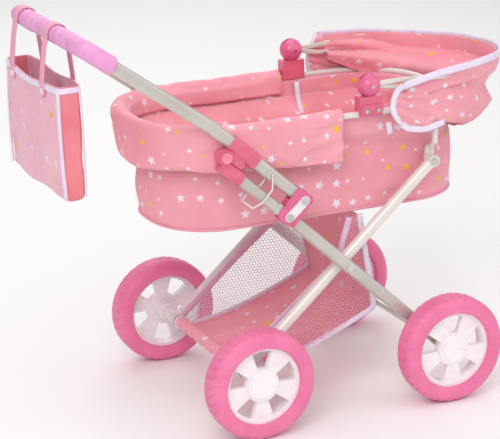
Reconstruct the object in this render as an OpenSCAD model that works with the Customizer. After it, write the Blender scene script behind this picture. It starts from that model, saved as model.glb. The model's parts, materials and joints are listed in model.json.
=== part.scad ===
// Doll stroller: soft bassinet on a folding X frame, with a folding hood,
// four wheels, a basket under the bassinet and a tote bag on the handle.
// Millimetres. +X is the front (hood end), +Z is up, +Y is the pusher's left.
// The origin is on the ground, under the middle of the overall box.

/* [Wheels] */
// Radius of a tyre
wheel_r = 82.5; // [70:0.5:95]
// Width of a tyre
tyre_w = 42; // [30:1:46]
// Radius where the tyre meets the rim
rim_r = 58.5; // [48:0.5:62]
// Distance between the front and rear axles
wheelbase = 316; // [280:1:360]
// Distance between the left and right tyre centres
track = 360; // [360:1:400]
// Radius of the axle rods
axle_r = 5; // [4:0.5:6]
// Radius of the wheel hub
hub_r = 14; // [11:0.5:18]
// Number of spokes
spokes = 5; // [4:1:7]

/* [Frame] */
// Width of the flat-oval tube of the front legs and handle
flat_w = 19; // [16:0.5:21]
// Thickness of the flat-oval tube
flat_t = 12; // [10:0.5:13]
// Distance of the front leg and handle planes from the middle
flat_y = 149; // [149:0.5:152]
// Outside diameter of the rear leg tube
rear_d = 17; // [14:0.5:18]
// Distance of the rear leg planes from the middle
rear_y = 124; // [122:0.5:126]
// Wall thickness of the steel tubes
tube_wall = 1.4; // [1:0.1:2]
// Height of the front leg's top rivet above the front axle
leg_rise = 235.5; // [210:0.5:250]
// Distance of the front leg's top rivet behind the front axle
leg_run = 253.5; // [235:0.5:270]
// Height of the rear leg's top rivet above the rear axle
brace_rise = 278.5; // [265:0.5:290]
// Distance of the rear leg's top rivet ahead of the rear axle
brace_run = 315; // [300:0.5:325]

/* [Handle] */
// Spacing of the two rivets of the fold joint
link_span = 33; // [30:0.5:36]
// Slope of the lower handle and lock bar, in degrees
handle_slope = 41.8; // [38:0.2:45]
// Length of the handle's lower straight part
handle_low = 184.5; // [170:0.5:200]
// Length of the handle's upper part, up to the crossbar's middle line
handle_high = 223; // [200:0.5:235]
// Slope of the handle's upper part, in degrees
grip_slope = 35.8; // [28:0.2:38]
// Bend radius of the handle's upper corners
handle_bend = 25; // [22:1:34]
// Radius of the foam grip
grip_r = 13.5; // [12.5:0.5:15]
// Length of foam on each side tube, past the corner
grip_tail = 17; // [8:1:30]
// Width of the lock bar
lock_w = 17; // [14:0.5:17]
// Travel of the lock bar
lock_travel = 9; // [4:1:10]
// Travel of the release button
button_travel = 3.5; // [2:0.5:4]
// Radius of the release button
button_r = 8; // [6:0.5:9]

/* [Bassinet] */
// Height of the rim tube
rim_z = 448; // [445:1:452]
// Half width of the rim tube, on its middle line
rim_hw = 128; // [128:0.5:128.5]
// Rearmost reach of the rim tube behind the wheelbase middle
rim_back = 271; // [260:1:276]
// Front reach of the rim tube ahead of the wheelbase middle
rim_front = 222; // [205:1:230]
// Corner radius of the rim tube
rim_corner = 105; // [90:1:115]
// Radius of the rim tube
rim_tube_r = 4.5; // [4:0.1:4.6]
// Rearmost reach of the bassinet's lower part, behind the wheelbase middle
tub_back = 252; // [240:1:256]
// Front reach of the bassinet's lower part, ahead of the wheelbase middle
tub_front = 236; // [220:1:240]
// Height of the bassinet's underside
tub_z = 292; // [288:1:300]
// Height of the step in the bassinet's sides
step_z = 394; // [392:1:398]
// Half width of the bassinet below the step
tub_hw = 104; // [95:0.5:105]
// Thickness of the fabric walls
tub_wall = 3; // [2:0.5:4]
// Height of the cuff's lower edge
cuff_z = 386; // [375:1:395]
// Thickness of the padded cuff
cuff_t = 5.5; // [4:0.5:5.5]

/* [Hood] */
// Hinge distance ahead of the wheelbase middle
hood_x = 48; // [40:1:60]
// Height of the hood hinge
hood_z = 490.5; // [490:0.5:496]
// Reach of the hood from its hinge
hood_reach = 264; // [258:1:275]
// Half width of the outermost hood panel
hood_hw = 142.2; // [142:0.1:142.5]
// Sideways step from one hood panel to the next
hood_step = 2.7; // [2.4:0.1:2.8]
// Thickness of a hood panel
hood_t = 1.6; // [1.2:0.1:1.8]
// Arc of a hood panel, in degrees
hood_arc = 34; // [28:1:38]
// Radius of the hinge ball
ball_r = 17.4; // [16.5:0.1:17.5]

/* [Basket] */
// Half width of the basket
basket_hw = 108; // [95:1:110]
// Thickness of the basket's panels
basket_t = 2.5; // [2:0.5:3.5]
// Place of the basket's front lower corner: ahead, up
basket_front = [67, 134]; // [60:1:140]

/* [Tote bag] */
// Width of the bag, along the crossbar
bag_w = 215; // [170:1:216]
// Depth of the bag at its top
bag_d = 44; // [36:1:50]
// Depth of the bag at its bottom
bag_foot = 32; // [20:1:36]
// Height of the bag's body
bag_h = 165; // [140:1:170]
// Gap between the crossbar's middle and the bag's top edge
bag_drop = 66; // [56:1:70]
// Sideways place of the bag's middle
bag_y = 43; // [30:1:43]
// Spacing of the two strap loops
strap_gap = 126; // [90:1:128]
// Width of a strap
strap_w = 18; // [12:1:20]

/* [Hidden] */
$fn = 48;
LEFT = 1;
RIGHT = -1;
FRONT = 1;
REAR = -1;

pin_clear = 0.05;       // running clearance of pins and axles
soft_gap = 0.3;         // gap between soft solids and their neighbours
rivet_r = 3;
rivet_head_r = 5.5;
rivet_head_t = 1.8;
head_in_t = 1.1;        // thickness of the flat inner rivet heads
flat_out = flat_y + flat_t / 2;
flat_in = flat_y - flat_t / 2;

// Points in the side view are [ahead, up], from the ground under the wheelbase middle.
front_hub = [wheelbase / 2, wheel_r];
rear_hub = [-wheelbase / 2, wheel_r];
leg_top = front_hub + [-leg_run, leg_rise];
brace_top = rear_hub + [brace_run, brace_rise];
function unit(a) = [cos(a), sin(a)];
function slope_of(p, q) = atan2(q[1] - p[1], q[0] - p[0]);
function cross2(a, b) = a[0] * b[1] - a[1] * b[0];
function meet(p, d, q, e) = p + d * cross2(q - p, e) / cross2(d, e);
crossing = meet(front_hub, leg_top - front_hub, rear_hub, brace_top - rear_hub);

// The handle's own side frame: u runs up along the tube, v is square to it, upwards.
handle_dir = unit(180 - handle_slope);
handle_up = unit(90 - handle_slope);
link_lean = 4;          // offset of the lower rivet up along the handle
lock_drop = sqrt(link_span * link_span - link_lean * link_lean);
fold_pin = leg_top - handle_dir * link_lean + handle_up * lock_drop;
function on_handle(u, v) = fold_pin + handle_dir * u + handle_up * v;
elbow = on_handle(handle_low, 0);
crossbar = elbow + unit(180 - grip_slope) * handle_high;

// The overall box, which places the origin.
strap_t = 1.5;          // thickness of the straps
strap_play = 0.2;       // gap between a strap's end and the bag
snap_t = 1.5;           // thickness of the straps' snaps
back_edge = crossbar[0] - bag_d / 2 - strap_play - strap_t - snap_t;
front_edge = hood_x + hood_reach;
origin_x = -(back_edge + front_edge) / 2;

rim_side_in = rim_hw - rim_tube_r;
rim_side_out = rim_hw + rim_tube_r;
tub_top = rim_z - 2.5;
cuff_out = rim_side_out + 0.9 + cuff_t;
cuff_front = 3;         // front end of the cuff, ahead of the wheelbase middle
clamp_back = 30;
clamp_front = 67;

// ---------- shared shapes ----------

module whole() translate([origin_x, 0, 0]) children();

// Puts a child drawn at [ahead, 0, up] on one side, at distance y from the middle.
module at_side(p, side, y) translate([p[0], side * y, p[1]]) children();

// A pin across the stroller, between two distances from the middle.
module pin(p, side, y0, y1, r) {
    low = side > 0 ? y0 : -y1;
    translate([p[0], low, p[1]]) rotate([-90, 0, 0]) cylinder(r = r, h = y1 - y0);
}

// A rivet with a round outer head and a thin flat inner head.
module rivet(p, side, y0, y1, r = rivet_r) {
    pin(p, side, y0, y1, r);
    pin(p, side, y1, y1 + rivet_head_t, rivet_head_r);
    pin(p, side, y0 - head_in_t, y0, rivet_head_r);
}

module stadium(w, t) {
    if (w > t) {
        square([w - t, t], center = true);
        for (s = [-1, 1]) translate([s * (w - t) / 2, 0]) circle(d = t);
    } else circle(d = t);
}

// A bar of stadium section between two side-view points.
module bar(p, q, side, y, w, t) {
    translate([p[0], side * y, p[1]]) rotate([0, -slope_of(p, q), 0]) rotate([0, 90, 0])
        linear_extrude(norm(q - p)) stadium(w, t);
}

// A flat plate with round ends, around two side-view points.
module plate(p, q, side, y0, y1, w) {
    low = side > 0 ? y0 : -y1;
    translate([p[0], low, p[1]]) rotate([0, -slope_of(p, q), 0]) rotate([90, 0, 0])
        mirror([0, 0, 1]) linear_extrude(y1 - y0) {
            translate([0, -w / 2]) square([norm(q - p), w]);
            circle(d = w);
            translate([norm(q - p), 0]) circle(d = w);
        }
}

// A plate drawn in the handle's side frame: first axis u, second axis v.
module handle_plate(side, y0, y1) {
    high = side > 0 ? y1 : -y0;
    translate([fold_pin[0], high, fold_pin[1]]) rotate([0, handle_slope - 180, 0])
        rotate([90, 0, 0]) linear_extrude(y1 - y0) mirror([0, 1]) children();
}

// Rounded outline between x0 and x1, of half width hw and corner radius r.
module outline(x0, x1, hw, r) {
    translate([x0 + r, -hw]) square([x1 - x0 - 2 * r, 2 * hw]);
    translate([x0, -hw + r]) square([x1 - x0, 2 * hw - 2 * r]);
    for (x = [x0 + r, x1 - r], y = [-hw + r, hw - r]) translate([x, y]) circle(r = r, $fn = 96);
}

module rim_outline(grow) outline(-rim_back - grow, rim_front + grow, rim_hw + grow,
    rim_corner + grow);

// A round wire along a list of 3-D points, with a slightly fuller ball at each bend.
module wire(points, r, closed = false) {
    n = len(points);
    for (i = [0 : closed ? n - 1 : n - 2]) {
        d = points[(i + 1) % n] - points[i];
        translate(points[i]) rotate([0, acos(d[2] / norm(d)), atan2(d[1], d[0])])
            cylinder(r = r, h = norm(d), $fn = 24);
    }
    for (p = points) translate(p) sphere(r = r * 1.08, $fn = 24);
}

// ---------- front frame ----------

module front_leg(side) color("silver") whole() difference() {
    union() {
        bar(front_hub, leg_top, side, flat_y, flat_w, flat_t);
        pin(front_hub, side, flat_in, flat_out, flat_w / 2);
        pin(leg_top, side, flat_in, flat_out, 8);
    }
    bar(front_hub + (leg_top - front_hub) * 0.06, front_hub + (leg_top - front_hub) * 0.95,
        side, flat_y, flat_w - 2 * tube_wall, flat_t - 2 * tube_wall);
    pin(front_hub, side, flat_in - 1, flat_out + 1, axle_r + pin_clear);
    pin(leg_top, side, flat_in - 1, flat_out + 1, rivet_r + pin_clear);
    pin(crossing, side, flat_in - 1, flat_out + 1, rivet_r + pin_clear);
}

module axle(hub) color("gainsboro") whole()
    translate([hub[0], 0, hub[1]]) rotate([90, 0, 0])
        cylinder(r = axle_r, h = track + 18, center = true);

bracket_gap = 0.3;      // play of the handle's end between the bracket's cheeks
cheek_t = 2.2;
cheek_out = flat_out + bracket_gap;
cheek_in = flat_in - bracket_gap;
tip_u = link_lean + 13; // lock bar's tip at rest
module fold_bracket(side) {
    // The plastic bracket's two cheeks, and the blocks between them.
    low_v = -lock_drop - 11;
    high_v = 12;
    y_in = cheek_in - 0.5;
    y_out = cheek_out + cheek_t;
    module cheek(y0, y1) handle_plate(side, y0, y1)
        translate([0, (low_v + high_v) / 2]) outline(-12, 21, (high_v - low_v) / 2, 8);
    color("hotpink") whole() difference() {
        union() {
            cheek(cheek_out, y_out);
            cheek(y_in, cheek_in);
            handle_plate(side, y_in, y_out) translate([-11, -22.4]) square([31, 10.8]);
            handle_plate(side, y_in, y_out) translate([tip_u - 4.4, low_v + 4])
                square([3.6, -22 - low_v - 4]);
        }
        pin(fold_pin, side, 100, 200, rivet_r + pin_clear);
        pin(leg_top, side, 100, 200, rivet_r + pin_clear);
    }
}

link_in = cheek_out + cheek_t;
link_t = 1.6;
module link_plates() color("white") whole() for (side = [RIGHT, LEFT]) difference() {
    plate(leg_top, fold_pin, side, link_in, link_in + link_t, 14);
    pin(fold_pin, side, 100, 200, rivet_r + pin_clear);
    pin(leg_top, side, 100, 200, rivet_r + pin_clear);
}

spacer_in = rear_y + rear_d / 2 + 0.2;
module crossing_spacers() color("white") whole() for (side = [RIGHT, LEFT]) difference() {
    pin(crossing, side, spacer_in, flat_in, 8);
    pin(crossing, side, spacer_in - 1, flat_in + 1, rivet_r + pin_clear);
}

module frame_rivets() color("silver") whole() for (side = [RIGHT, LEFT]) {
    rivet(crossing, side, rear_y - rear_d / 2 - 0.2, flat_out);
    for (p = [leg_top, fold_pin]) rivet(p, side, cheek_in - 0.5, link_in + link_t);
}

// ---------- rear frame ----------

module rear_leg(side) color("whitesmoke") whole() difference() {
    union() {
        bar(rear_hub, brace_top, side, rear_y, rear_d, rear_d);
        pin(rear_hub, side, rear_y - rear_d / 2 + 0.4, rear_y + rear_d / 2 - 0.4, 10.5);
        pin(brace_top, side, rear_y - rear_d / 2 + 0.4, rear_y + rear_d / 2 - 0.4, 9.3);
    }
    bar(rear_hub + (brace_top - rear_hub) * 0.05, brace_top - (brace_top - rear_hub) * 0.05,
        side, rear_y, 0, rear_d - 2 * tube_wall);
    pin(rear_hub, side, 100, 150, axle_r + pin_clear);
    pin(brace_top, side, 100, 150, rivet_r + pin_clear);
    pin(crossing, side, 100, 150, rivet_r + pin_clear);
}

rear_wheel_gap = track / 2 - tyre_w / 2 - 0.6;
module rear_collars() color("white") whole() for (side = [RIGHT, LEFT]) difference() {
    pin(rear_hub, side, spacer_in + 0.2, rear_wheel_gap, 9.5);
    pin(rear_hub, side, 100, 200, axle_r + pin_clear);
}

support_in = 109.6;     // inner face of the rim support's flat end
support_out = 115;
module rim_rivets() color("silver") whole() for (side = [RIGHT, LEFT])
    rivet(brace_top, side, support_in - 0.2, rear_y + rear_d / 2);

// The basket hangs from the rear axle and rises at the front, open at the top and rear.
basket_back = rear_hub + [0, -9.5];
basket_lip = [basket_front[0] - 24, tub_z - 9];
basket_side = [basket_front[0] - 62, 226];
sleeve_r = 9.5;         // radius of the basket's sleeve on the rear axle
module across(w) rotate([90, 0, 0]) linear_extrude(w, center = true) children();
module basket() {
    t = basket_t;
    color("pink") whole() difference() {
        union() {
            across(2 * basket_hw) polygon([basket_back, basket_front, basket_lip,
                basket_lip + [-t, 0], basket_front + [-1.1 * t, t], basket_back + [0, t]]);
            across(2 * basket_hw) translate(rear_hub) circle(r = sleeve_r);
            for (side = [LEFT, RIGHT]) translate([0, side * (basket_hw - t / 2), 0]) across(t)
                polygon([basket_back, basket_front, basket_lip, basket_lip + [-18, 0],
                    basket_side, rear_hub + [0, sleeve_r]]);
        }
        across(2 * basket_hw + 2) translate(rear_hub) circle(r = axle_r + pin_clear);
    }
}

// ---------- handle ----------

// The handle's upper U in its own plane: x runs down the side tubes, y is across.
module upper_plane() translate([crossbar[0], 0, crossbar[1]]) rotate([0, grip_slope, 0])
    children();

// Sweeps a section along part of the U; its first axis lies square to the plane.
module sweep_u(tail) {
    straight = flat_y - handle_bend;
    rotate([90, 0, 0]) linear_extrude(2 * straight, center = true) rotate(90) children();
    for (side = [-1, 1]) {
        translate([handle_bend, side * straight, 0]) rotate(side > 0 ? 90 : 180)
            rotate_extrude(angle = 90) translate([handle_bend, 0]) rotate(90) children();
        translate([handle_bend, side * flat_y, 0]) rotate([0, 90, 0])
            linear_extrude(tail) children();
    }
}

module handle_section(cut) stadium(flat_w - 2 * cut, flat_t - 2 * cut);

latch_u = 67;           // place of the latch wire's pivot along the handle
latch_r = 1.3;
screw_us = [60.2, 73.8];
module handle_tube() color("silver") whole() difference() {
    union() {
        upper_plane() sweep_u(handle_high - handle_bend) handle_section(0);
        for (side = [RIGHT, LEFT]) {
            bar(elbow, fold_pin, side, flat_y, flat_w, flat_t);
            pin(elbow, side, flat_in, flat_out, flat_w / 2);
            pin(fold_pin, side, flat_in, flat_out, flat_w / 2);
        }
    }
    upper_plane() sweep_u(handle_high - handle_bend) handle_section(tube_wall);
    for (side = [RIGHT, LEFT]) {
        bar(elbow, on_handle(14, 0), side, flat_y, flat_w - 2 * tube_wall,
            flat_t - 2 * tube_wall);
        pin(fold_pin, side, 100, 200, rivet_r + pin_clear);
        pin(on_handle(latch_u, 0), side, 100, 200, latch_r + pin_clear);
        for (u = screw_us) pin(on_handle(u, 0), side, flat_y, 200, 1.5 + pin_clear);
    }
}

module grip() color("orchid") whole() upper_plane() difference() {
    sweep_u(grip_tail) circle(r = grip_r);
    sweep_u(grip_tail + 1) handle_section(-pin_clear);
}

module handle_screws() color("silver") whole() for (side = [RIGHT, LEFT], u = screw_us) {
    pin(on_handle(u, 0), side, flat_out - 3, flat_out, 1.5);
    pin(on_handle(u, 0), side, flat_out, flat_out + 1.5, 3);
}

barrel_wall = 2.5;
barrel_low = 98;        // handle barrel's ends, along u
barrel_high = 150;
sleeve_low = 101;       // lock bar sleeve's ends, along u
sleeve_high = 143;
lock_end = 129;         // lock bar's upper end at rest
button_at = [146, -22];
boss_r = button_r + 3.2;
button_in = flat_out - 4;
boss_out = flat_out + barrel_wall + 1.5;
module lock_housing(side) {
    outer_t = flat_t + 2 * barrel_wall;
    module along(u0, u1, v, w, t) bar(on_handle(u0, v), on_handle(u1, v), side, flat_y, w, t);
    color("palevioletred") whole() difference() {
        union() {
            along(barrel_low, barrel_high, 0, flat_w + 2 * barrel_wall, outer_t);
            along(sleeve_low, sleeve_high, -lock_drop, lock_w + 2 * barrel_wall, outer_t);
            plate(on_handle(118, -16), on_handle(140, -16), side, flat_in - 0.6,
                flat_out + 0.4, 13);
            pin(on_handle(button_at[0], button_at[1]), side, flat_in - 1.2, boss_out, boss_r);
        }
        along(barrel_low - 1, barrel_high + 1, 0, flat_w + 2 * pin_clear,
            flat_t + 2 * pin_clear);
        along(sleeve_low - 1, lock_end + lock_travel + 0.5, -lock_drop,
            lock_w + 2 * soft_gap, flat_t + 2 * soft_gap);
        pin(on_handle(button_at[0], button_at[1]), side, button_in - button_travel - 0.5,
            boss_out + 1, button_r + soft_gap);
    }
}

module lock_bar(side) color("silver") whole() difference() {
    union() {
        bar(on_handle(tip_u + lock_w / 2, -lock_drop), on_handle(lock_end, -lock_drop), side,
            flat_y, lock_w, flat_t);
        pin(on_handle(tip_u + lock_w / 2, -lock_drop), side, flat_in, flat_out, lock_w / 2);
    }
    bar(on_handle(tip_u + lock_w / 2, -lock_drop), on_handle(lock_end + 1, -lock_drop), side,
        flat_y, lock_w - 2 * tube_wall, flat_t - 2 * tube_wall);
}

module release_button(side) color("lightpink") whole()
    pin(on_handle(button_at[0], button_at[1]), side, button_in, boss_out + button_travel + 1,
        button_r);

module latch_wire(side) {
    y_out = side * (flat_out + latch_r + 0.5);
    y_in = side * (flat_in - latch_r - 0.3);
    function w(u, v, y) = [on_handle(u, v)[0], y, on_handle(u, v)[1]];
    below = -lock_drop - 22;
    color("white") whole() wire([w(latch_u, 0, y_out), w(54, -17, y_out), w(54.5, -40, y_out),
        w(62, below, y_out), w(75, below, side * flat_y), w(75, below, y_in),
        w(75, -43, y_in), w(65, -18, y_in), w(latch_u, 0, y_in)],
        latch_r, closed = true);
}

// ---------- bassinet ----------

module rim_tube() color("whitesmoke") whole() translate([0, 0, rim_z]) {
    straight_y = rim_hw - rim_corner;
    for (side = [-1, 1]) translate([-rim_back + rim_corner, side * rim_hw, 0])
        rotate([0, 90, 0]) cylinder(r = rim_tube_r, h = rim_back + rim_front - 2 * rim_corner);
    for (x = [-rim_back, rim_front]) translate([x, 0, 0]) rotate([90, 0, 0])
        cylinder(r = rim_tube_r, h = 2 * straight_y, center = true);
    for (c = [[rim_front, 1, 0], [-rim_back, 1, 90], [-rim_back, -1, 180], [rim_front, -1, 270]])
        translate([c[0] - sign(c[0]) * rim_corner, c[1] * straight_y, 0]) rotate(c[2])
            rotate_extrude(angle = 90, $fn = 96) translate([rim_corner, 0])
                circle(r = rim_tube_r);
}

// A tube from the rim down to a flat end at the rear leg's top rivet.
module rim_support(side) {
    x = brace_top[0] + 2;
    flat_mid = (support_in + support_out) / 2;
    color("whitesmoke") whole() difference() {
        union() {
            wire([[x, side * rim_hw, rim_z - 9], [x, side * rim_hw, step_z - 3],
                [x, side * flat_mid, step_z - 16]], rim_tube_r);
            translate([x, side * rim_hw, rim_z - rim_tube_r - 4.6]) cylinder(r = rim_tube_r, h = 4.5);
            plate(brace_top, [x, step_z - 17], side, support_in, support_out, 14);
        }
        pin(brace_top, side, 100, 200, rivet_r + pin_clear);
    }
}

module tub_lower(cut) outline(-tub_back + cut, tub_front - cut, tub_hw - cut,
    tub_hw - 12 - cut);
module tub_upper(cut) rim_outline(-rim_tube_r - 0.7 - cut);

module bassinet_floor() color("lightpink") whole() translate([0, 0, tub_z])
    linear_extrude(tub_wall) tub_lower(0);

// One sewn wall, between two places along the stroller.
wall_seam = -20;
module bassinet_wall(x0, x1) color("lightpink") whole() intersection() {
    difference() {
        union() {
            translate([0, 0, tub_z + tub_wall]) linear_extrude(step_z - tub_z - tub_wall)
                tub_lower(0);
            translate([0, 0, step_z]) linear_extrude(tub_top - step_z) tub_upper(0);
        }
        linear_extrude(step_z - tub_wall) tub_lower(tub_wall);
        translate([0, 0, step_z + tub_wall]) linear_extrude(100) tub_upper(tub_wall);
        linear_extrude(600) intersection() {
            tub_lower(tub_wall);
            tub_upper(tub_wall);
        }
    }
    translate([x0, -200, 0]) cube([x1 - x0, 400, 600]);
}

board_t = 3;
module base_board() color("tan") whole() translate([0, 0, tub_z + tub_wall + 0.1])
    linear_extrude(board_t) tub_lower(tub_wall + 1);

module cuff() {
    module band(z0, z1, inner) intersection() {
        translate([0, 0, z0]) linear_extrude(z1 - z0) difference() {
            rim_outline(cuff_out - rim_hw);
            rim_outline(inner);
        }
        translate([-500, -200, 0]) cube([500 + cuff_front, 400, 600]);
    }
    color("pink") whole() {
        band(cuff_z, rim_z + 9, rim_tube_r + 0.9);
        band(rim_z + 5.4, rim_z + 12, -14);
    }
}

clamp_w = 18;           // clamp's thickness across the rim
clamp_low = rim_z - 2;
clamp_top = hood_z - ball_r + 2;
module hood_clamp(side) color("palevioletred") whole() difference() {
    translate([clamp_back, side * rim_hw - clamp_w / 2, clamp_low])
        cube([clamp_front - clamp_back, clamp_w, clamp_top - clamp_low]);
    at_side([hood_x, hood_z], side, rim_hw) sphere(r = ball_r + pin_clear);
    translate([0, side * rim_hw, rim_z]) rotate([0, 90, 0])
        cylinder(r = rim_tube_r + pin_clear, h = 200, center = true);
}

clip_in = rim_hw + clamp_w / 2 + 0.1;
module clamp_clips() color("mediumvioletred") whole() for (side = [RIGHT, LEFT]) difference() {
    plate([clamp_back + 8, clamp_low + 9], [clamp_front - 8, clamp_low + 9], side, clip_in,
        clip_in + 2.5, 15);
    for (x = [clamp_back + 9, clamp_front - 9])
        pin([x, clamp_low + 8], side, 100, 200, 1.5 + pin_clear);
}

module clamp_screws() color("silver") whole()
    for (side = [RIGHT, LEFT], x = [clamp_back + 9, clamp_front - 9]) {
        pin([x, clamp_low + 8], side, clip_in, clip_in + 2.5, 1.5);
        pin([x, clamp_low + 8], side, clip_in + 2.5, clip_in + 4, 3.4);
    }

strip_t = 1.8;
strip_w = 9;
hoop_front_y = rim_hw + 1.2;    // strip middles inside the ball's slot
hoop_middle_y = rim_hw - 1.2;
slot_half = 1.2 + strip_t / 2 + 0.3;
module hinge_ball(side) color("palevioletred") whole() at_side([hood_x, hood_z], side, rim_hw)
    difference() {
        sphere(r = ball_r);
        rotate([90, 0, 0]) cylinder(r = strip_w / 2 + 4, h = 2 * slot_half, center = true);
        translate([0, -slot_half, -6]) cube([30, 2 * slot_half, 40]);
        translate([-14, -slot_half, 0]) cube([30, 2 * slot_half, 40]);
        rotate([90, 0, 0]) cylinder(r = rivet_r + pin_clear, h = 60, center = true);
    }

module hinge_bolts() color("silver") whole() for (side = [RIGHT, LEFT])
    pin([hood_x, hood_z], side, rim_hw - 15, rim_hw + 16.2, rivet_r);

// ---------- hood ----------

module hood_frame() translate([hood_x, 0, hood_z]) rotate([90, 0, 0]) children();

// A fabric panel: part of a surface turned about the hinge line.
module hood_panel(level) {
    hw = hood_hw - level * hood_step;
    reach = hood_reach - level * hood_step;
    inner = 80;
    color("pink") whole() hood_frame() rotate(-hood_arc)
        rotate_extrude(angle = hood_arc, $fn = 144) difference() {
            intersection() {
                outline(-reach, reach, hw, 118);
                translate([inner, -200]) square([400, 400]);
            }
            outline(-reach + hood_t, reach - hood_t, hw - hood_t, 118 - hood_t);
        }
}

// A flat-strip hoop: from a ball's slot out to the panel, and round the front.
module hood_hoop(level, slot_y) {
    hw = hood_hw - 2.5 - level * 5.5;
    reach = hood_reach - 3 - level * 6;
    knee = 42;
    knee_end = 78;
    module loop() difference() {
        intersection() {
            outline(-reach, reach, hw, 116);
            translate([knee_end, -200]) square([400, 400]);
        }
        outline(-reach + strip_t, reach - strip_t, hw - strip_t, 116 - strip_t);
    }
    module arm(s) {
        y0 = slot_y - strip_t / 2;
        y1 = slot_y + strip_t / 2;
        polygon([[0, s * y0], [knee, s * y0], [knee_end, s * (hw - strip_t)],
            [knee_end + 0.5, s * (hw - strip_t)], [knee_end + 0.5, s * hw],
            [knee_end, s * hw], [knee, s * y1], [0, s * y1]]);
    }
    color("white") whole() translate([hood_x, 0, hood_z]) difference() {
        union() {
            rotate([0, -4.2, 0]) translate([0, 0, -strip_w / 2]) linear_extrude(strip_w) {
                loop();
                arm(1);
                arm(-1);
            }
            for (s = [-1, 1]) translate([0, s * slot_y, 0]) rotate([90, 0, 0])
                cylinder(r = strip_w / 2 + 2, h = strip_t, center = true);
        }
        rotate([90, 0, 0]) cylinder(r = rivet_r + pin_clear, h = 400, center = true);
    }
}

// ---------- wheels ----------

module wheel_at(hub, side) whole() translate([hub[0], side * track / 2, hub[1]])
    rotate([side > 0 ? -90 : 90, 0, 0]) children();

tyre_round = 12;
module tyre(hub, side) color("hotpink") wheel_at(hub, side) rotate_extrude($fn = 128)
    translate([rim_r + pin_clear, -tyre_w / 2]) {
        square([wheel_r - rim_r - pin_clear - tyre_round, tyre_w]);
        translate([0, tyre_round]) square([wheel_r - rim_r - pin_clear, tyre_w - 2 * tyre_round]);
        for (z = [tyre_round, tyre_w - tyre_round])
            translate([wheel_r - rim_r - pin_clear - tyre_round, z]) circle(r = tyre_round);
    }

face = 12.5;            // outer face of the rim beyond the tyre's middle
barrel_t = 5;
spoke_t = 9;
module rim(hub, side) color("whitesmoke") wheel_at(hub, side) difference() {
    union() {
        difference() {
            translate([0, 0, -face]) cylinder(r = rim_r, h = 2 * face, $fn = 128);
            translate([0, 0, -face - 1]) cylinder(r = rim_r - barrel_t, h = 2 * face + 2, $fn = 128);
        }
        translate([0, 0, face - 2 - spoke_t]) cylinder(r = rim_r - 1, h = spoke_t, $fn = 128);
        translate([0, 0, -tyre_w / 2 + 0.6]) cylinder(r = hub_r, h = tyre_w / 2 + face - 3);
    }
    for (i = [0 : spokes - 1]) rotate(i * 360 / spokes + 18) translate([0, 0, face - 20])
        linear_extrude(30) intersection() {
            difference() {
                circle(r = rim_r - barrel_t - 1);
                circle(r = hub_r + 12);
            }
            polygon([[4, 0], [80, 26], [80, -26]]);
        }
    translate([0, 0, -50]) cylinder(r = axle_r + pin_clear, h = 100);
}

cap_r = 24;
module hub_cap(hub, side) color("gainsboro") wheel_at(hub, side) difference() {
    union() {
        translate([0, 0, face - 1.9]) cylinder(r = cap_r, h = 3);
        translate([0, 0, face + 1]) cylinder(r = cap_r - 5, h = 2.5);
        for (i = [0 : 4]) rotate(i * 72) translate([cap_r - 9, 0, face + 3.4])
            cylinder(r = 2, h = 1);
    }
    translate([0, 0, face - 10]) cylinder(r = axle_r + 1, h = 9.8);
}

// ---------- tote bag ----------

bag_top = crossbar[1] - bag_drop;
bag_wall = 2;
module bag_place() whole() translate([crossbar[0], bag_y, bag_top]) children();

// A slice across the bag: the bag's side outline, moved inwards by cut.
module bag_side(cut) polygon([[-bag_d / 2 + cut, 0], [bag_d / 2 - cut, 0],
    [bag_foot / 2 - cut, -bag_h], [-bag_foot / 2 + cut, -bag_h]]);

module tote_bag() color("lightpink") bag_place() difference() {
    across(bag_w) bag_side(0);
    intersection() {
        across(bag_w - 2 * bag_wall) bag_side(bag_wall);
        translate([-bag_d, -bag_w, -bag_h + bag_wall]) cube([2 * bag_d, 2 * bag_w, bag_h]);
    }
}

loop_r = grip_r + 0.4;
strap_end = 22;         // how far the strap's ends reach below the bag's edge
strap_x = bag_d / 2 + strap_play;
module bag_straps() color("pink") bag_place() for (s = [-1, 1])
    translate([0, s * strap_gap / 2, bag_drop]) rotate([90, 0, 0])
        linear_extrude(strap_w, center = true) {
            difference() {
                circle(r = loop_r + strap_t);
                circle(r = loop_r);
                translate([-50, -100]) square([100, 100]);
            }
            for (m = [-1, 1]) polygon([[m * loop_r, 0], [m * (loop_r + strap_t), 0],
                [m * (strap_x + strap_t), -bag_drop],
                [m * (strap_x + strap_t), -bag_drop - strap_end],
                [m * strap_x, -bag_drop - strap_end], [m * strap_x, -bag_drop]]);
        }

pocket_t = 2;
pocket_gap = 0.2;
module bag_pocket() color("lightpink") bag_place() intersection() {
    across(bag_w - 40) difference() {
        bag_side(bag_wall + pocket_gap);
        translate([-pocket_t, 0]) bag_side(bag_wall + pocket_gap);
    }
    translate([0, -bag_w, -bag_h + 30]) cube([bag_d, 2 * bag_w, bag_h - 60]);
}

module strap_snaps() color("white") bag_place() for (s = [-1, 1])
    translate([-strap_x - strap_t, s * strap_gap / 2, -14]) rotate([0, -90, 0])
        cylinder(r = 5, h = snap_t);

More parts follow.
